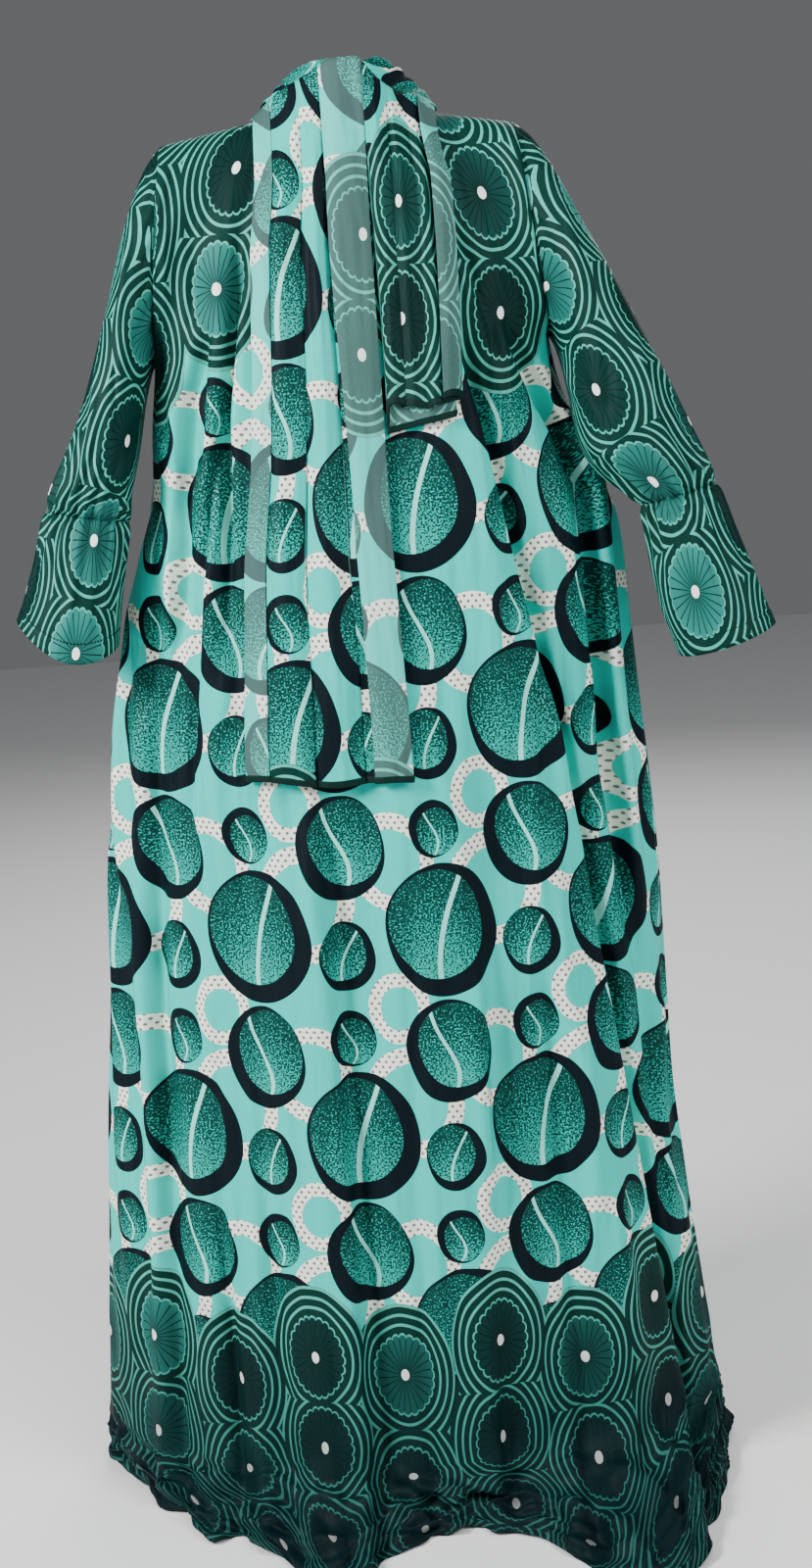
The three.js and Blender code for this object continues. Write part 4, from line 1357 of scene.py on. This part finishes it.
class Graph:
    """Adds shader nodes to one tree and joins them."""

    def __init__(self, tree: bpy.types.NodeTree) -> None:
        """Keeps the tree that nodes are added to."""
        self.tree = tree

    def node(self, kind: str, **settings: object) -> bpy.types.Node:
        """Adds a node with its settings.

        Args:
            kind: the type of node.
            settings: properties that are set on it.

        Returns:
            The node.
        """
        made = self.tree.nodes.new(kind)
        for key, value in settings.items():
            setattr(made, key, value)
        return made

    def feed(self, socket: bpy.types.NodeSocket, value: object) -> None:
        """Joins a socket to another socket, or sets its value.

        Args:
            socket: the socket that is fed.
            value: another socket, or a plain value.
        """
        if isinstance(value, bpy.types.NodeSocket):
            self.tree.links.new(value, socket)
        else:
            socket.default_value = value

    def math(self, operation: str, *values: object, held: bool = False) -> bpy.types.NodeSocket:
        """Adds a Math node.

        Args:
            operation: its operation.
            values: its inputs, sockets or numbers.
            held: true to hold the result between 0 and 1.

        Returns:
            Its output.
        """
        made = self.node("ShaderNodeMath", operation=operation, use_clamp=held)
        for socket, value in zip(made.inputs, values):
            self.feed(socket, value)
        return made.outputs[0]

    def mix(self, share: object, low: object, high: object) -> bpy.types.NodeSocket:
        """Mixes two colours by a share from 0 to 1.

        Args:
            share: the share of the second colour.
            low: the first colour.
            high: the second colour.

        Returns:
            The mixed colour.
        """
        made = self.node("ShaderNodeMix", data_type="RGBA")
        self.feed(made.inputs[0], share)
        self.feed(made.inputs[6], low)
        self.feed(made.inputs[7], high)
        return made.outputs[2]

    def length(self, across: object, along: object) -> bpy.types.NodeSocket:
        """Gives the length of a line from its two parts.

        Args:
            across: its part across.
            along: its part along.

        Returns:
            The length.
        """
        first = self.math("MULTIPLY", across, across)
        second = self.math("MULTIPLY", along, along)
        return self.math("SQRT", self.math("ADD", first, second))

    def nearest(self, value: object, pitch: float) -> bpy.types.NodeSocket:
        """Gives the number of whole steps that lies nearest to a value."""
        return self.math("ROUND", self.math("DIVIDE", value, pitch))

    def less_steps(self, value: object, steps: object, pitch: float) -> bpy.types.NodeSocket:
        """Takes a number of steps off a value."""
        return self.math("SUBTRACT", value, self.math("MULTIPLY", steps, pitch))

    def group(self, tree: bpy.types.NodeTree, **values: object) -> bpy.types.Node:
        """Places a node group and feeds its inputs by name, with underscores for spaces.

        Args:
            tree: the group's tree.
            values: what each input is fed.

        Returns:
            The placed group.
        """
        made = self.node("ShaderNodeGroup")
        made.node_tree = tree
        for name, value in values.items():
            self.feed(made.inputs[name.replace("_", " ")], value)
        return made

    def split(self, vector: bpy.types.NodeSocket) -> tuple[bpy.types.NodeSocket, bpy.types.NodeSocket]:
        """Gives a vector's first two parts.

        Args:
            vector: the vector.

        Returns:
            Its parts across and along.
        """
        made = self.node("ShaderNodeSeparateXYZ")
        self.feed(made.inputs[0], vector)
        return made.outputs[0], made.outputs[1]


def new_group(
    name: str, inputs: dict[str, str], outputs: dict[str, str],
) -> tuple[Graph, dict, bpy.types.Node]:
    """Starts a shader node group.

    Args:
        name: the group's name.
        inputs: each input's name and kind, Float, Vector or Color.
        outputs: each output's name and kind.

    Returns:
        A graph for its inside, its inputs as sockets, and its output node.
    """
    tree = bpy.data.node_groups.new(name, "ShaderNodeTree")
    for key, kind in inputs.items():
        tree.interface.new_socket(key, in_out="INPUT", socket_type=f"NodeSocket{kind}")
    for key, kind in outputs.items():
        tree.interface.new_socket(key, in_out="OUTPUT", socket_type=f"NodeSocket{kind}")
    graph = Graph(tree)
    entry = graph.node("NodeGroupInput")
    leave = graph.node("NodeGroupOutput")
    return graph, {key: entry.outputs[key] for key in inputs}, leave


@dataclass(frozen=True)
class PrintRepeat:
    """Sizes of the print's repeat in millimetres."""

    width: float = 200.0
    row: float = 218.0
    rosette_columns: float = 200.0
    rosette_rows: float = 115.0
    rosette_half_width: float = 31.0
    rosette_half_height: float = 46.0
    rosette_sway: float = 14.0
    rosette_lift: float = 16.0
    contour_start: float = 1.2
    contour_step: float = 0.24
    contour_line: float = 0.3
    petals: float = 12.0
    outer_level: float = 1.76
    dot_row: float = 5.6
    dot_pitch: float = 7.8
    dot_shift: float = 3.9
    dot_radius: float = 1.6


REPEAT = PrintRepeat()
DISCS = Table("x y rx ry rim_x rim_y vein", [
    (54, 68, 60, 70, -0.11, 0.09, 0.2),
    (152, 158, 46, 55, 0.12, 0.11, -0.24),
    (150, 44, 30, 37, -0.13, 0.12, 0.3),
    (50, 174, 25, 30, 0.13, -0.1, -0.28),
])
RINGS = Table("x y radius band", [
    (110, 104, 53, 16),
    (4, 142, 45, 15),
    (102, 206, 33, 13),
])
SATIN_WAVES = Table("across along turn height", [
    (40, 380, 0.05, 7.5),
    (17, 130, -0.12, 3.6),
    (12, 40, 0.5, 0.9),
])


def local_place(graph: Graph, place: object, x: object, y: object) -> tuple[object, object]:
    """Wraps the cloth's place about one motif, each row of the repeat shifted by half its width.

    Args:
        graph: the tree that nodes are added to.
        place: the place in the flat print.
        x: the motif's middle across.
        y: the motif's middle down.

    Returns:
        The distance across and down from the nearest copy of the motif.
    """
    u, v = graph.split(place)
    down = graph.math("SUBTRACT", v, y)
    row = graph.nearest(down, REPEAT.row)
    shift = graph.math("MULTIPLY", row, REPEAT.width / 2)
    side = graph.math("ADD", graph.math("SUBTRACT", u, x), shift)
    turns = graph.nearest(side, REPEAT.width)
    return graph.less_steps(side, turns, REPEAT.width), graph.less_steps(down, row, REPEAT.row)


def disc_group() -> bpy.types.NodeTree:
    """Makes the group that prints one stippled disc with a dark crescent rim and a pale vein.

    Returns:
        The group's tree.
    """
    names = {
        "Under": "Color", "Place": "Vector", "Grain": "Float", "X": "Float", "Y": "Float",
        "Half Width": "Float", "Half Height": "Float", "Rim X": "Float", "Rim Y": "Float", "Vein": "Float",
    }
    graph, given, leave = new_group("stippled_disc", names, {"Color": "Color"})
    du, dv = local_place(graph, given["Place"], given["X"], given["Y"])
    qx = graph.math("DIVIDE", du, given["Half Width"])
    qy = graph.math("DIVIDE", dv, given["Half Height"])
    wobble = graph.math("MULTIPLY", graph.math("SINE", graph.math("MULTIPLY", qy, 4.0)), 0.03)
    qx = graph.math("ADD", qx, wobble)
    inside = graph.math("LESS_THAN", graph.length(qx, qy), 1.0)
    fx = graph.math("SUBTRACT", qx, given["Rim X"])
    fy = graph.math("SUBTRACT", qy, given["Rim Y"])
    filled = graph.math("LESS_THAN", graph.length(fx, fy), 0.82)
    shade = graph.math("SUBTRACT", 0.62, graph.math("MULTIPLY", fy, 0.55))
    shade = graph.math("SUBTRACT", shade, graph.math("MULTIPLY", graph.math("ABSOLUTE", fx), 0.35), held=True)
    limit = graph.math("SUBTRACT", 0.66, graph.math("MULTIPLY", shade, 0.3))
    spots = graph.math("MULTIPLY", graph.math("SUBTRACT", given["Grain"], limit), 9.0, held=True)
    body = graph.mix(spots, Ink.DISC_DARK.light, Ink.DISC_BRIGHT.light)
    sweep = graph.math("SINE", graph.math("MULTIPLY", qy, 2.0))
    bow = graph.math("ADD", sweep, graph.math("MULTIPLY", qy, qy))
    vein = graph.math("ABSOLUTE", graph.math("SUBTRACT", qx, graph.math("MULTIPLY", bow, given["Vein"])))
    body = graph.mix(graph.math("LESS_THAN", vein, 0.045), body, Ink.VEIN.light)
    whole = graph.mix(filled, Ink.RIM.light, body)
    graph.feed(leave.inputs[0], graph.mix(inside, given["Under"], whole))
    return graph.tree


def ring_group() -> bpy.types.NodeTree:
    """Makes the group that prints one cream ring with rows of small dots.

    Returns:
        The group's tree.
    """
    names = {
        "Under": "Color", "Place": "Vector", "Dots": "Float", "X": "Float", "Y": "Float",
        "Radius": "Float", "Band": "Float",
    }
    graph, given, leave = new_group("dotted_ring", names, {"Color": "Color"})
    du, dv = local_place(graph, given["Place"], given["X"], given["Y"])
    tall = graph.math("DIVIDE", dv, 1.15)
    reach = graph.length(du, tall)
    outer = graph.math("LESS_THAN", reach, given["Radius"])
    inner = graph.math("GREATER_THAN", reach, graph.math("SUBTRACT", given["Radius"], given["Band"]))
    band = graph.math("MULTIPLY", outer, inner)
    ink = graph.mix(given["Dots"], Ink.RING.light, Ink.DOT.light)
    graph.feed(leave.inputs[0], graph.mix(band, given["Under"], ink))
    return graph.tree


def dots_group() -> bpy.types.NodeTree:
    """Makes the group that gives a mask of small staggered dots.

    Returns:
        The group's tree.
    """
    graph, given, leave = new_group("small_dots", {"Place": "Vector"}, {"Mask": "Float"})
    u, v = graph.split(given["Place"])
    row = graph.nearest(v, REPEAT.dot_row)
    dv = graph.less_steps(v, row, REPEAT.dot_row)
    side = graph.math("ADD", u, graph.math("MULTIPLY", row, REPEAT.dot_shift))
    du = graph.less_steps(side, graph.nearest(side, REPEAT.dot_pitch), REPEAT.dot_pitch)
    graph.feed(leave.inputs[0], graph.math("LESS_THAN", graph.length(du, dv), REPEAT.dot_radius))
    return graph.tree


def disc_print_group() -> bpy.types.NodeTree:
    """Makes the group that prints the whole ground of rings and discs.

    Returns:
        The group's tree.
    """
    graph, given, leave = new_group("disc_print", {"Place": "Vector"}, {"Color": "Color"})
    place = given["Place"]
    grain = graph.node("ShaderNodeTexNoise", noise_dimensions="2D")
    graph.feed(grain.inputs["Vector"], place)
    graph.feed(grain.inputs["Scale"], 0.5)
    graph.feed(grain.inputs["Detail"], 1.0)
    dots = graph.group(dots_group(), Place=place).outputs[0]
    colour = Ink.GROUND.light
    ring = ring_group()
    for row in RINGS.rows():
        made = graph.group(
            ring, Under=colour, Place=place, Dots=dots,
            X=row["x"], Y=row["y"], Radius=row["radius"], Band=row["band"],
        )
        colour = made.outputs[0]
    disc = disc_group()
    for row in DISCS.rows():
        made = graph.group(
            disc, Under=colour, Place=place, Grain=grain.outputs[0],
            X=row["x"], Y=row["y"], Half_Width=row["rx"], Half_Height=row["ry"],
            Rim_X=row["rim_x"], Rim_Y=row["rim_y"], Vein=row["vein"],
        )
        colour = made.outputs[0]
    graph.feed(leave.inputs[0], colour)
    return graph.tree


def near_rosette_group() -> bpy.types.NodeTree:
    """Makes the group that finds the nearest rosette in one set of columns.

    Returns:
        The group's tree.
    """
    names = {"Place": "Vector", "X": "Float", "Y": "Float", "Lowest": "Float", "Highest": "Float"}
    outputs = {"Level": "Float", "Across": "Float", "Up": "Float", "Chance": "Float"}
    graph, given, leave = new_group("near_rosette", names, outputs)
    u, v = graph.split(given["Place"])
    side = graph.math("SUBTRACT", u, given["X"])
    column = graph.nearest(side, REPEAT.rosette_columns)
    du = graph.less_steps(side, column, REPEAT.rosette_columns)
    down = graph.math("SUBTRACT", v, given["Y"])
    row = graph.math("MINIMUM", graph.nearest(down, REPEAT.rosette_rows), given["Highest"])
    row = graph.math("MAXIMUM", row, given["Lowest"])
    dv = graph.less_steps(down, row, REPEAT.rosette_rows)
    cell = graph.node("ShaderNodeCombineXYZ")
    graph.feed(cell.inputs[0], column)
    graph.feed(cell.inputs[1], row)
    graph.feed(cell.inputs[2], given["X"])
    chance = graph.node("ShaderNodeTexWhiteNoise", noise_dimensions="3D")
    graph.feed(chance.inputs["Vector"], cell.outputs[0])
    part = graph.node("ShaderNodeSeparateColor")
    graph.feed(part.inputs[0], chance.outputs["Color"])
    sway = graph.math("MULTIPLY", graph.math("SUBTRACT", part.outputs[0], 0.5), REPEAT.rosette_sway)
    lift = graph.math("MULTIPLY", graph.math("SUBTRACT", part.outputs[1], 0.5), REPEAT.rosette_lift)
    across = graph.math("DIVIDE", graph.math("SUBTRACT", du, sway), REPEAT.rosette_half_width)
    up = graph.math("DIVIDE", graph.math("SUBTRACT", dv, lift), REPEAT.rosette_half_height)
    found = {"Level": graph.length(across, up), "Across": across, "Up": up, "Chance": part.outputs[2]}
    for name, value in found.items():
        graph.feed(leave.inputs[name], value)
    return graph.tree


def rosette_print_group() -> bpy.types.NodeTree:
    """Makes the group that prints many-petalled rosettes ringed by pale contour lines.

    Returns:
        The group's tree.
    """
    names = {
        "Place": "Vector", "First X": "Float", "First Y": "Float", "Second X": "Float", "Second Y": "Float",
        "Lowest": "Float", "Highest": "Float",
    }
    graph, given, leave = new_group("rosette_print", names, {"Color": "Color", "Level": "Float"})
    near = near_rosette_group()
    found = [
        graph.group(
            near, Place=given["Place"], X=given[f"{which} X"], Y=given[f"{which} Y"],
            Lowest=given["Lowest"], Highest=given["Highest"],
        )
        for which in ("First", "Second")
    ]
    pick = graph.math("LESS_THAN", found[1].outputs["Level"], found[0].outputs["Level"])

    def chosen(name: str) -> bpy.types.NodeSocket:
        """Takes an output from whichever rosette is nearer."""
        gap = graph.math("SUBTRACT", found[1].outputs[name], found[0].outputs[name])
        return graph.math("ADD", found[0].outputs[name], graph.math("MULTIPLY", gap, pick))

    level, across, up, chance = (chosen(name) for name in ("Level", "Across", "Up", "Chance"))
    angle = graph.math("ARCTAN2", up, across)
    wave = graph.math("ABSOLUTE", graph.math("COSINE", graph.math("MULTIPLY", angle, REPEAT.petals)))
    edge = graph.math("ADD", 0.9, graph.math("MULTIPLY", graph.math("SQRT", wave), 0.09))
    petals = graph.math("LESS_THAN", level, edge)
    past = graph.math("SUBTRACT", level, REPEAT.contour_start)
    step = graph.math("FRACT", graph.math("DIVIDE", past, REPEAT.contour_step))
    line = graph.math("LESS_THAN", step, REPEAT.contour_line)
    rings = graph.math("MULTIPLY", line, graph.math("GREATER_THAN", level, REPEAT.contour_start))
    halo = graph.math("LESS_THAN", level, graph.math("ADD", edge, 0.05))
    ground = graph.mix(graph.math("MAXIMUM", rings, halo), Ink.LEAF_GROUND.light, Ink.LINE.light)
    bright = graph.math("POWER", chance, 4.0)
    fade = graph.math("ADD", 0.35, graph.math("MULTIPLY", level, 0.75))
    light = graph.math("MULTIPLY", fade, bright, held=True)
    petal = graph.mix(light, Ink.PETAL_DARK.light, Ink.PETAL_LIGHT.light)
    rib = graph.math("LESS_THAN", wave, graph.math("ADD", 0.12, graph.math("DIVIDE", 0.07, level)))
    petal = graph.mix(rib, petal, Ink.PETAL_RIB.light)
    petal = graph.mix(graph.math("LESS_THAN", level, 0.14), petal, Ink.HEART.light)
    graph.feed(leave.inputs["Color"], graph.mix(petals, ground, petal))
    graph.feed(leave.inputs["Level"], level)
    return graph.tree


def satin_group() -> bpy.types.NodeTree:
    """Makes the group that gives the satin's small creases as a height.

    Returns:
        The group's tree.
    """
    graph, given, leave = new_group("satin_creases", {"Place": "Vector"}, {"Height": "Float"})
    total = 0.0
    for wave in SATIN_WAVES.rows():
        stretch = graph.node("ShaderNodeMapping")
        graph.feed(stretch.inputs["Vector"], given["Place"])
        graph.feed(stretch.inputs["Rotation"], (0.0, 0.0, wave["turn"]))
        graph.feed(stretch.inputs["Scale"], (1 / wave["across"], 1 / wave["along"], 1.0))
        noise = graph.node("ShaderNodeTexNoise", noise_dimensions="2D")
        graph.feed(noise.inputs["Vector"], stretch.outputs[0])
        graph.feed(noise.inputs["Scale"], 1.0)
        graph.feed(noise.inputs["Detail"], 1.0)
        total = graph.math("ADD", total, graph.math("MULTIPLY", noise.outputs[0], wave["height"]))
    graph.feed(leave.inputs[0], total)
    return graph.tree


class Layout(Enum):
    """Which parts of the print a piece is cut from."""

    BODY = "body"
    BACK = "back"
    SLEEVE = "sleeve"
    SCARF = "scarf"
    SCARF_DARK = "scarf_dark"


class Fill(Enum):
    """Which side of its line a band of rosettes fills."""

    ABOVE = "above"
    BELOW = "below"
    NONE = "none"


@dataclass(frozen=True)
class Border:
    """A band of rosettes that starts or ends at a scalloped edge."""

    first_x: float
    first_y: float
    second_x: float
    second_y: float
    lowest: float
    highest: float


YOKE = Border(-138, 1300 - ORIGIN_HEIGHT, -238, 1258 - ORIGIN_HEIGHT, 0, 40)
HEM = Border(-115, 196 - ORIGIN_HEIGHT, -15, 156 - ORIGIN_HEIGHT, -40, 0)
SCARF_HEM = Border(-64, 756 - ORIGIN_HEIGHT, 36, 722 - ORIGIN_HEIGHT, -40, 0)
SCARF_MARGIN = Border(96, 1226 - ORIGIN_HEIGHT, 196, 1226 - ORIGIN_HEIGHT, 0, 1)
SHORT_BAND = Border(-4, 1372 - ORIGIN_HEIGHT, 96, 1334 - ORIGIN_HEIGHT, -40, 0)
MARGIN_START = 66.0
# Painted shade: toward the hem edge the dress's colour is mixed with the dark rim ink, standing in for the
# shade on the lower hem and the cloth lying on the floor.
PAINTED_SHADE_START = 60.0
PAINTED_SHADE_LENGTH = 260.0
PAINTED_SHADE_SHARE = 0.8
BACK_SHIFT = 73.0
WIDE = Border(-96, 20, 4, 74, -60, 60)
WRONG_PALE = 0.16
# Light inks lie smoother on the satin's right side than dark ones.
WRONG_ROUGH = 0.6
WRONG_GLOSS = 0.06
RIGHT_GLOSS = 0.08
LIGHT_INK = 0.45
INK_SMOOTHING = 0.66


def new_material(name: str) -> tuple[bpy.types.Material, bpy.types.Node]:
    """Starts a material and gives its shader with it.

    Args:
        name: the material's name.

    Returns:
        The material and its shader.
    """
    material = bpy.data.materials.new(name)
    material.use_nodes = True
    return material, material.node_tree.nodes["Principled BSDF"]


class PrintShop:
    """Makes the printed satin finishes from shared node groups."""

    def __init__(self) -> None:
        """Builds each shared group once."""
        self.discs = disc_print_group()
        self.rosettes = rosette_print_group()
        self.satin = satin_group()

    def rosette(self, graph: Graph, place: object, border: Border) -> bpy.types.Node:
        """Places the rosette print with a border's sizes.

        Args:
            graph: the material's graph.
            place: the place in the flat print.
            border: the band's sizes.

        Returns:
            The placed group.
        """
        return graph.group(
            self.rosettes, Place=place, First_X=border.first_x, First_Y=border.first_y,
            Second_X=border.second_x, Second_Y=border.second_y,
            Lowest=border.lowest, Highest=border.highest,
        )

    def band(
        self, graph: Graph, place: object, under: object, border: Border, fill: Fill, beyond: float = -1e4,
    ) -> object:
        """Lays a scalloped band of rosettes over another print.

        Args:
            graph: the material's graph.
            place: the place in the flat print.
            under: the colour beneath.
            border: the band's sizes.
            fill: the side of its line that the band fills.
            beyond: place across that the band starts at.

        Returns:
            The colour.
        """
        made = self.rosette(graph, place, border)
        u, v = graph.split(place)
        near = graph.math("LESS_THAN", made.outputs["Level"], REPEAT.outer_level)
        solid = 0.0
        if fill is Fill.ABOVE:
            solid = graph.math("GREATER_THAN", v, max(border.first_y, border.second_y))
        elif fill is Fill.BELOW:
            solid = graph.math("LESS_THAN", v, min(border.first_y, border.second_y))
        across = graph.math("GREATER_THAN", u, beyond)
        share = graph.math("MULTIPLY", graph.math("MAXIMUM", near, solid), across)
        return graph.mix(share, under, made.outputs["Color"])

    def colour(self, graph: Graph, place: object, layout: Layout) -> object:
        """Gives the print's colour for a piece's part of the cloth, with painted shade mixed in toward the
        dress's hem.

        Args:
            graph: the material's graph.
            place: the place in the flat print.
            layout: which part it is cut from.

        Returns:
            The colour.
        """
        if layout is Layout.SLEEVE:
            return self.rosette(graph, place, WIDE).outputs["Color"]
        colour = graph.group(self.discs, Place=place).outputs[0]
        if layout is Layout.SCARF_DARK:
            return self.band(graph, place, colour, SHORT_BAND, Fill.BELOW)
        if layout is Layout.SCARF:
            colour = self.band(graph, place, colour, SCARF_HEM, Fill.BELOW)
            return self.band(graph, place, colour, SCARF_MARGIN, Fill.NONE, MARGIN_START)
        colour = self.band(graph, place, colour, HEM, Fill.BELOW)
        # Painted shade: from a little above the hem band's top, the colour is mixed more and more toward the
        # dark rim ink down to the edge.
        _, v = graph.split(place)
        deep = graph.math("DIVIDE", graph.math("SUBTRACT", HEM.first_y + PAINTED_SHADE_START, v), PAINTED_SHADE_LENGTH, held=True)
        colour = graph.mix(graph.math("MULTIPLY", deep, PAINTED_SHADE_SHARE), colour, Ink.RIM.light)
        return self.band(graph, place, colour, YOKE, Fill.ABOVE)

    def cloth(self, name: str, layout: Layout, wrong: bool) -> bpy.types.Material:
        """Makes one printed satin material.

        Args:
            name: its name.
            layout: which part of the print it shows.
            wrong: true for the paler wrong side.

        Returns:
            The material.
        """
        material, shader = new_material(name)
        graph = Graph(material.node_tree)
        uv = graph.node("ShaderNodeUVMap", uv_map="cloth")
        scale = graph.node("ShaderNodeVectorMath", operation="SCALE")
        graph.feed(scale.inputs[0], uv.outputs[0])
        scale.inputs["Scale"].default_value = 1000.0
        place = scale.outputs[0]
        if layout is Layout.BACK:
            shift = graph.node("ShaderNodeVectorMath", operation="ADD")
            graph.feed(shift.inputs[0], place)
            shift.inputs[1].default_value = (BACK_SHIFT, 0, 0)
            place = shift.outputs[0]
        colour = self.colour(graph, place, layout)
        if wrong:
            colour = graph.mix(WRONG_PALE, colour, Ink.WRONG.light)
        graph.feed(shader.inputs["Base Color"], colour)
        shader.inputs["Roughness"].default_value = WRONG_ROUGH
        shader.inputs["Specular IOR Level"].default_value = WRONG_GLOSS if wrong else RIGHT_GLOSS
        if not wrong:
            bright = graph.node("ShaderNodeRGBToBW")
            graph.feed(bright.inputs[0], colour)
            light = graph.math("MINIMUM", bright.outputs[0], LIGHT_INK)
            smoothing = graph.math("MULTIPLY", light, INK_SMOOTHING)
            graph.feed(shader.inputs["Roughness"], graph.math("SUBTRACT", WRONG_ROUGH, smoothing))
        creases = graph.group(self.satin, Place=place)
        bump = graph.node("ShaderNodeBump")
        bump.inputs["Strength"].default_value = 1.0
        bump.inputs["Distance"].default_value = 0.001
        graph.feed(bump.inputs["Height"], creases.outputs[0])
        graph.feed(shader.inputs["Normal"], bump.outputs[0])
        return material


@dataclass(frozen=True)
class Finish:
    """Right and wrong side of one cloth."""

    right: bpy.types.Material
    wrong: bpy.types.Material


def finish_for(shop: PrintShop, layout: Layout) -> Finish:
    """Makes both sides of a cloth."""
    name = f"satin_{layout.value}"
    return Finish(shop.cloth(name, layout, False), shop.cloth(f"{name}_wrong_side", layout, True))


def thread_finish() -> bpy.types.Material:
    """Makes the dark thread.

    Returns:
        The material.
    """
    material, shader = new_material("dark_thread")
    shader.inputs["Base Color"].default_value = Ink.THREAD.light
    shader.inputs["Roughness"].default_value = 0.6
    shader.inputs["Specular IOR Level"].default_value = 0.1
    return material


@dataclass
class Studio:
    """Camera at the photo's angle, pale floor and soft light."""

    camera_x: float = 25.0
    camera_back: float = 2300.0
    camera_height: float = 1230.0
    pitch_down: float = 11.3
    roll: float = -4.0
    focal_pixels: float = 2203.0
    picture_height: float = 1600.0
    sensor: float = 36.0

    def camera(self) -> None:
        """Sets the camera."""
        data = bpy.data.cameras.new("camera")
        data.sensor_width = self.sensor
        data.lens = self.focal_pixels / self.picture_height * self.sensor
        data.clip_start = 0.05
        data.clip_end = 50
        thing = bpy.data.objects.new("camera", data)
        bpy.context.collection.objects.link(thing)
        place = Vector((self.camera_x, -self.camera_back, self.camera_height - ORIGIN_HEIGHT)) * 0.001
        thing.location = place
        thing.rotation_mode = "QUATERNION"
        tilt = Quaternion((1, 0, 0), math.radians(90 - self.pitch_down))
        thing.rotation_quaternion = tilt @ Quaternion((0, 0, 1), math.radians(self.roll))
        bpy.context.scene.camera = thing

    def floor(self) -> None:
        """Lays the pale floor just under the cloth."""
        bpy.ops.object.select_all(action="DESELECT")
        bpy.ops.mesh.primitive_plane_add(size=14, location=(0, 0, -ORIGIN_HEIGHT * 0.001 - 0.0005))
        ground = bpy.context.object
        ground.name = "floor"
        material, shader = new_material("pale_floor")
        shader.inputs["Base Color"].default_value = (0.86, 0.86, 0.86, 1)
        shader.inputs["Roughness"].default_value = 0.9
        ground.data.materials.append(material)

    def lights(self) -> None:
        """Hangs the soft lights."""
        world = bpy.data.worlds.new("studio")
        world.use_nodes = True
        world.node_tree.nodes["Background"].inputs[0].default_value = (0.95, 0.97, 1.0, 1)
        world.node_tree.nodes["Background"].inputs[1].default_value = 0.14
        bpy.context.scene.world = world
        spots = [
            ("key", (-2.1, -1.35, 0.75), 0.8, 130),
            ("fill", (2.1, -1.7, 0.6), 1.3, 60),
            ("top", (0.5, -1.5, 1.9), 1.0, 28),
            ("behind", (0.6, 2.8, 1.2), 2.4, 60),
        ]
        for name, place, size, power in spots:
            data = bpy.data.lights.new(name, "AREA")
            data.size = size
            data.energy = power
            thing = bpy.data.objects.new(name, data)
            thing.location = place
            aim = Vector((0, 0, -0.7)) - Vector(place)
            thing.rotation_mode = "QUATERNION"
            thing.rotation_quaternion = aim.to_track_quat("-Z", "Y")
            bpy.context.collection.objects.link(thing)


def main() -> None:
    """Builds the scene."""
    logging.basicConfig(level=logging.INFO, format="%(message)s")
    studio = Studio()
    studio.camera()
    studio.floor()
    studio.lights()
    shop = PrintShop()
    sewing = Sewing(thread_finish())
    body = finish_for(shop, Layout.BODY)
    behind = finish_for(shop, Layout.BACK)
    sleeve_cloth = finish_for(shop, Layout.SLEEVE)
    scarf_cloth = finish_for(shop, Layout.SCARF)
    scarf_dark = finish_for(shop, Layout.SCARF_DARK)
    front = DressPanel(Side.FRONT, FRONT_FOLDS, FRONT_LINES, FRONT_CREASES, FRONT_HEM, 0.32, 221)
    back = DressPanel(Side.BACK, BACK_FOLDS, BACK_LINES, BACK_CREASES, BACK_HEM, 0.13, 181)
    front.build(body)
    back.build(behind)
    for hand, upper, lower in (("left", LEFT_SLEEVE, LEFT_CUFF), ("right", RIGHT_SLEEVE, RIGHT_CUFF)):
        Sleeve(hand, upper, lower).build(sleeve_cloth, sewing)
    long_end = ScarfEnd(
        "cloth_scarf_long_end", "scarf_long_end", "scarf_cloth", LONG_SECTION, LONG_END,
        -84, 30, 812, 804, 0, 0, 0, (0.26, 0.71), 0.135, 280, 150,
    )
    short_end = ScarfEnd(
        "cloth_scarf_short_end", "scarf_short_end", "scarf_dark_cloth", SHORT_SECTION, SHORT_END,
        29.5, 102, 1176, 1176, 1154, 12, 0.19, (0.21, 0.33), 0.061, 220, 80,
    )
    long_grid = long_end.build(front, scarf_cloth, sewing)
    short_grid = short_end.build(front, scarf_dark, sewing)
    ScarfNeck().build(long_grid, short_grid, scarf_cloth)


if __name__ == "__main__":
    main()
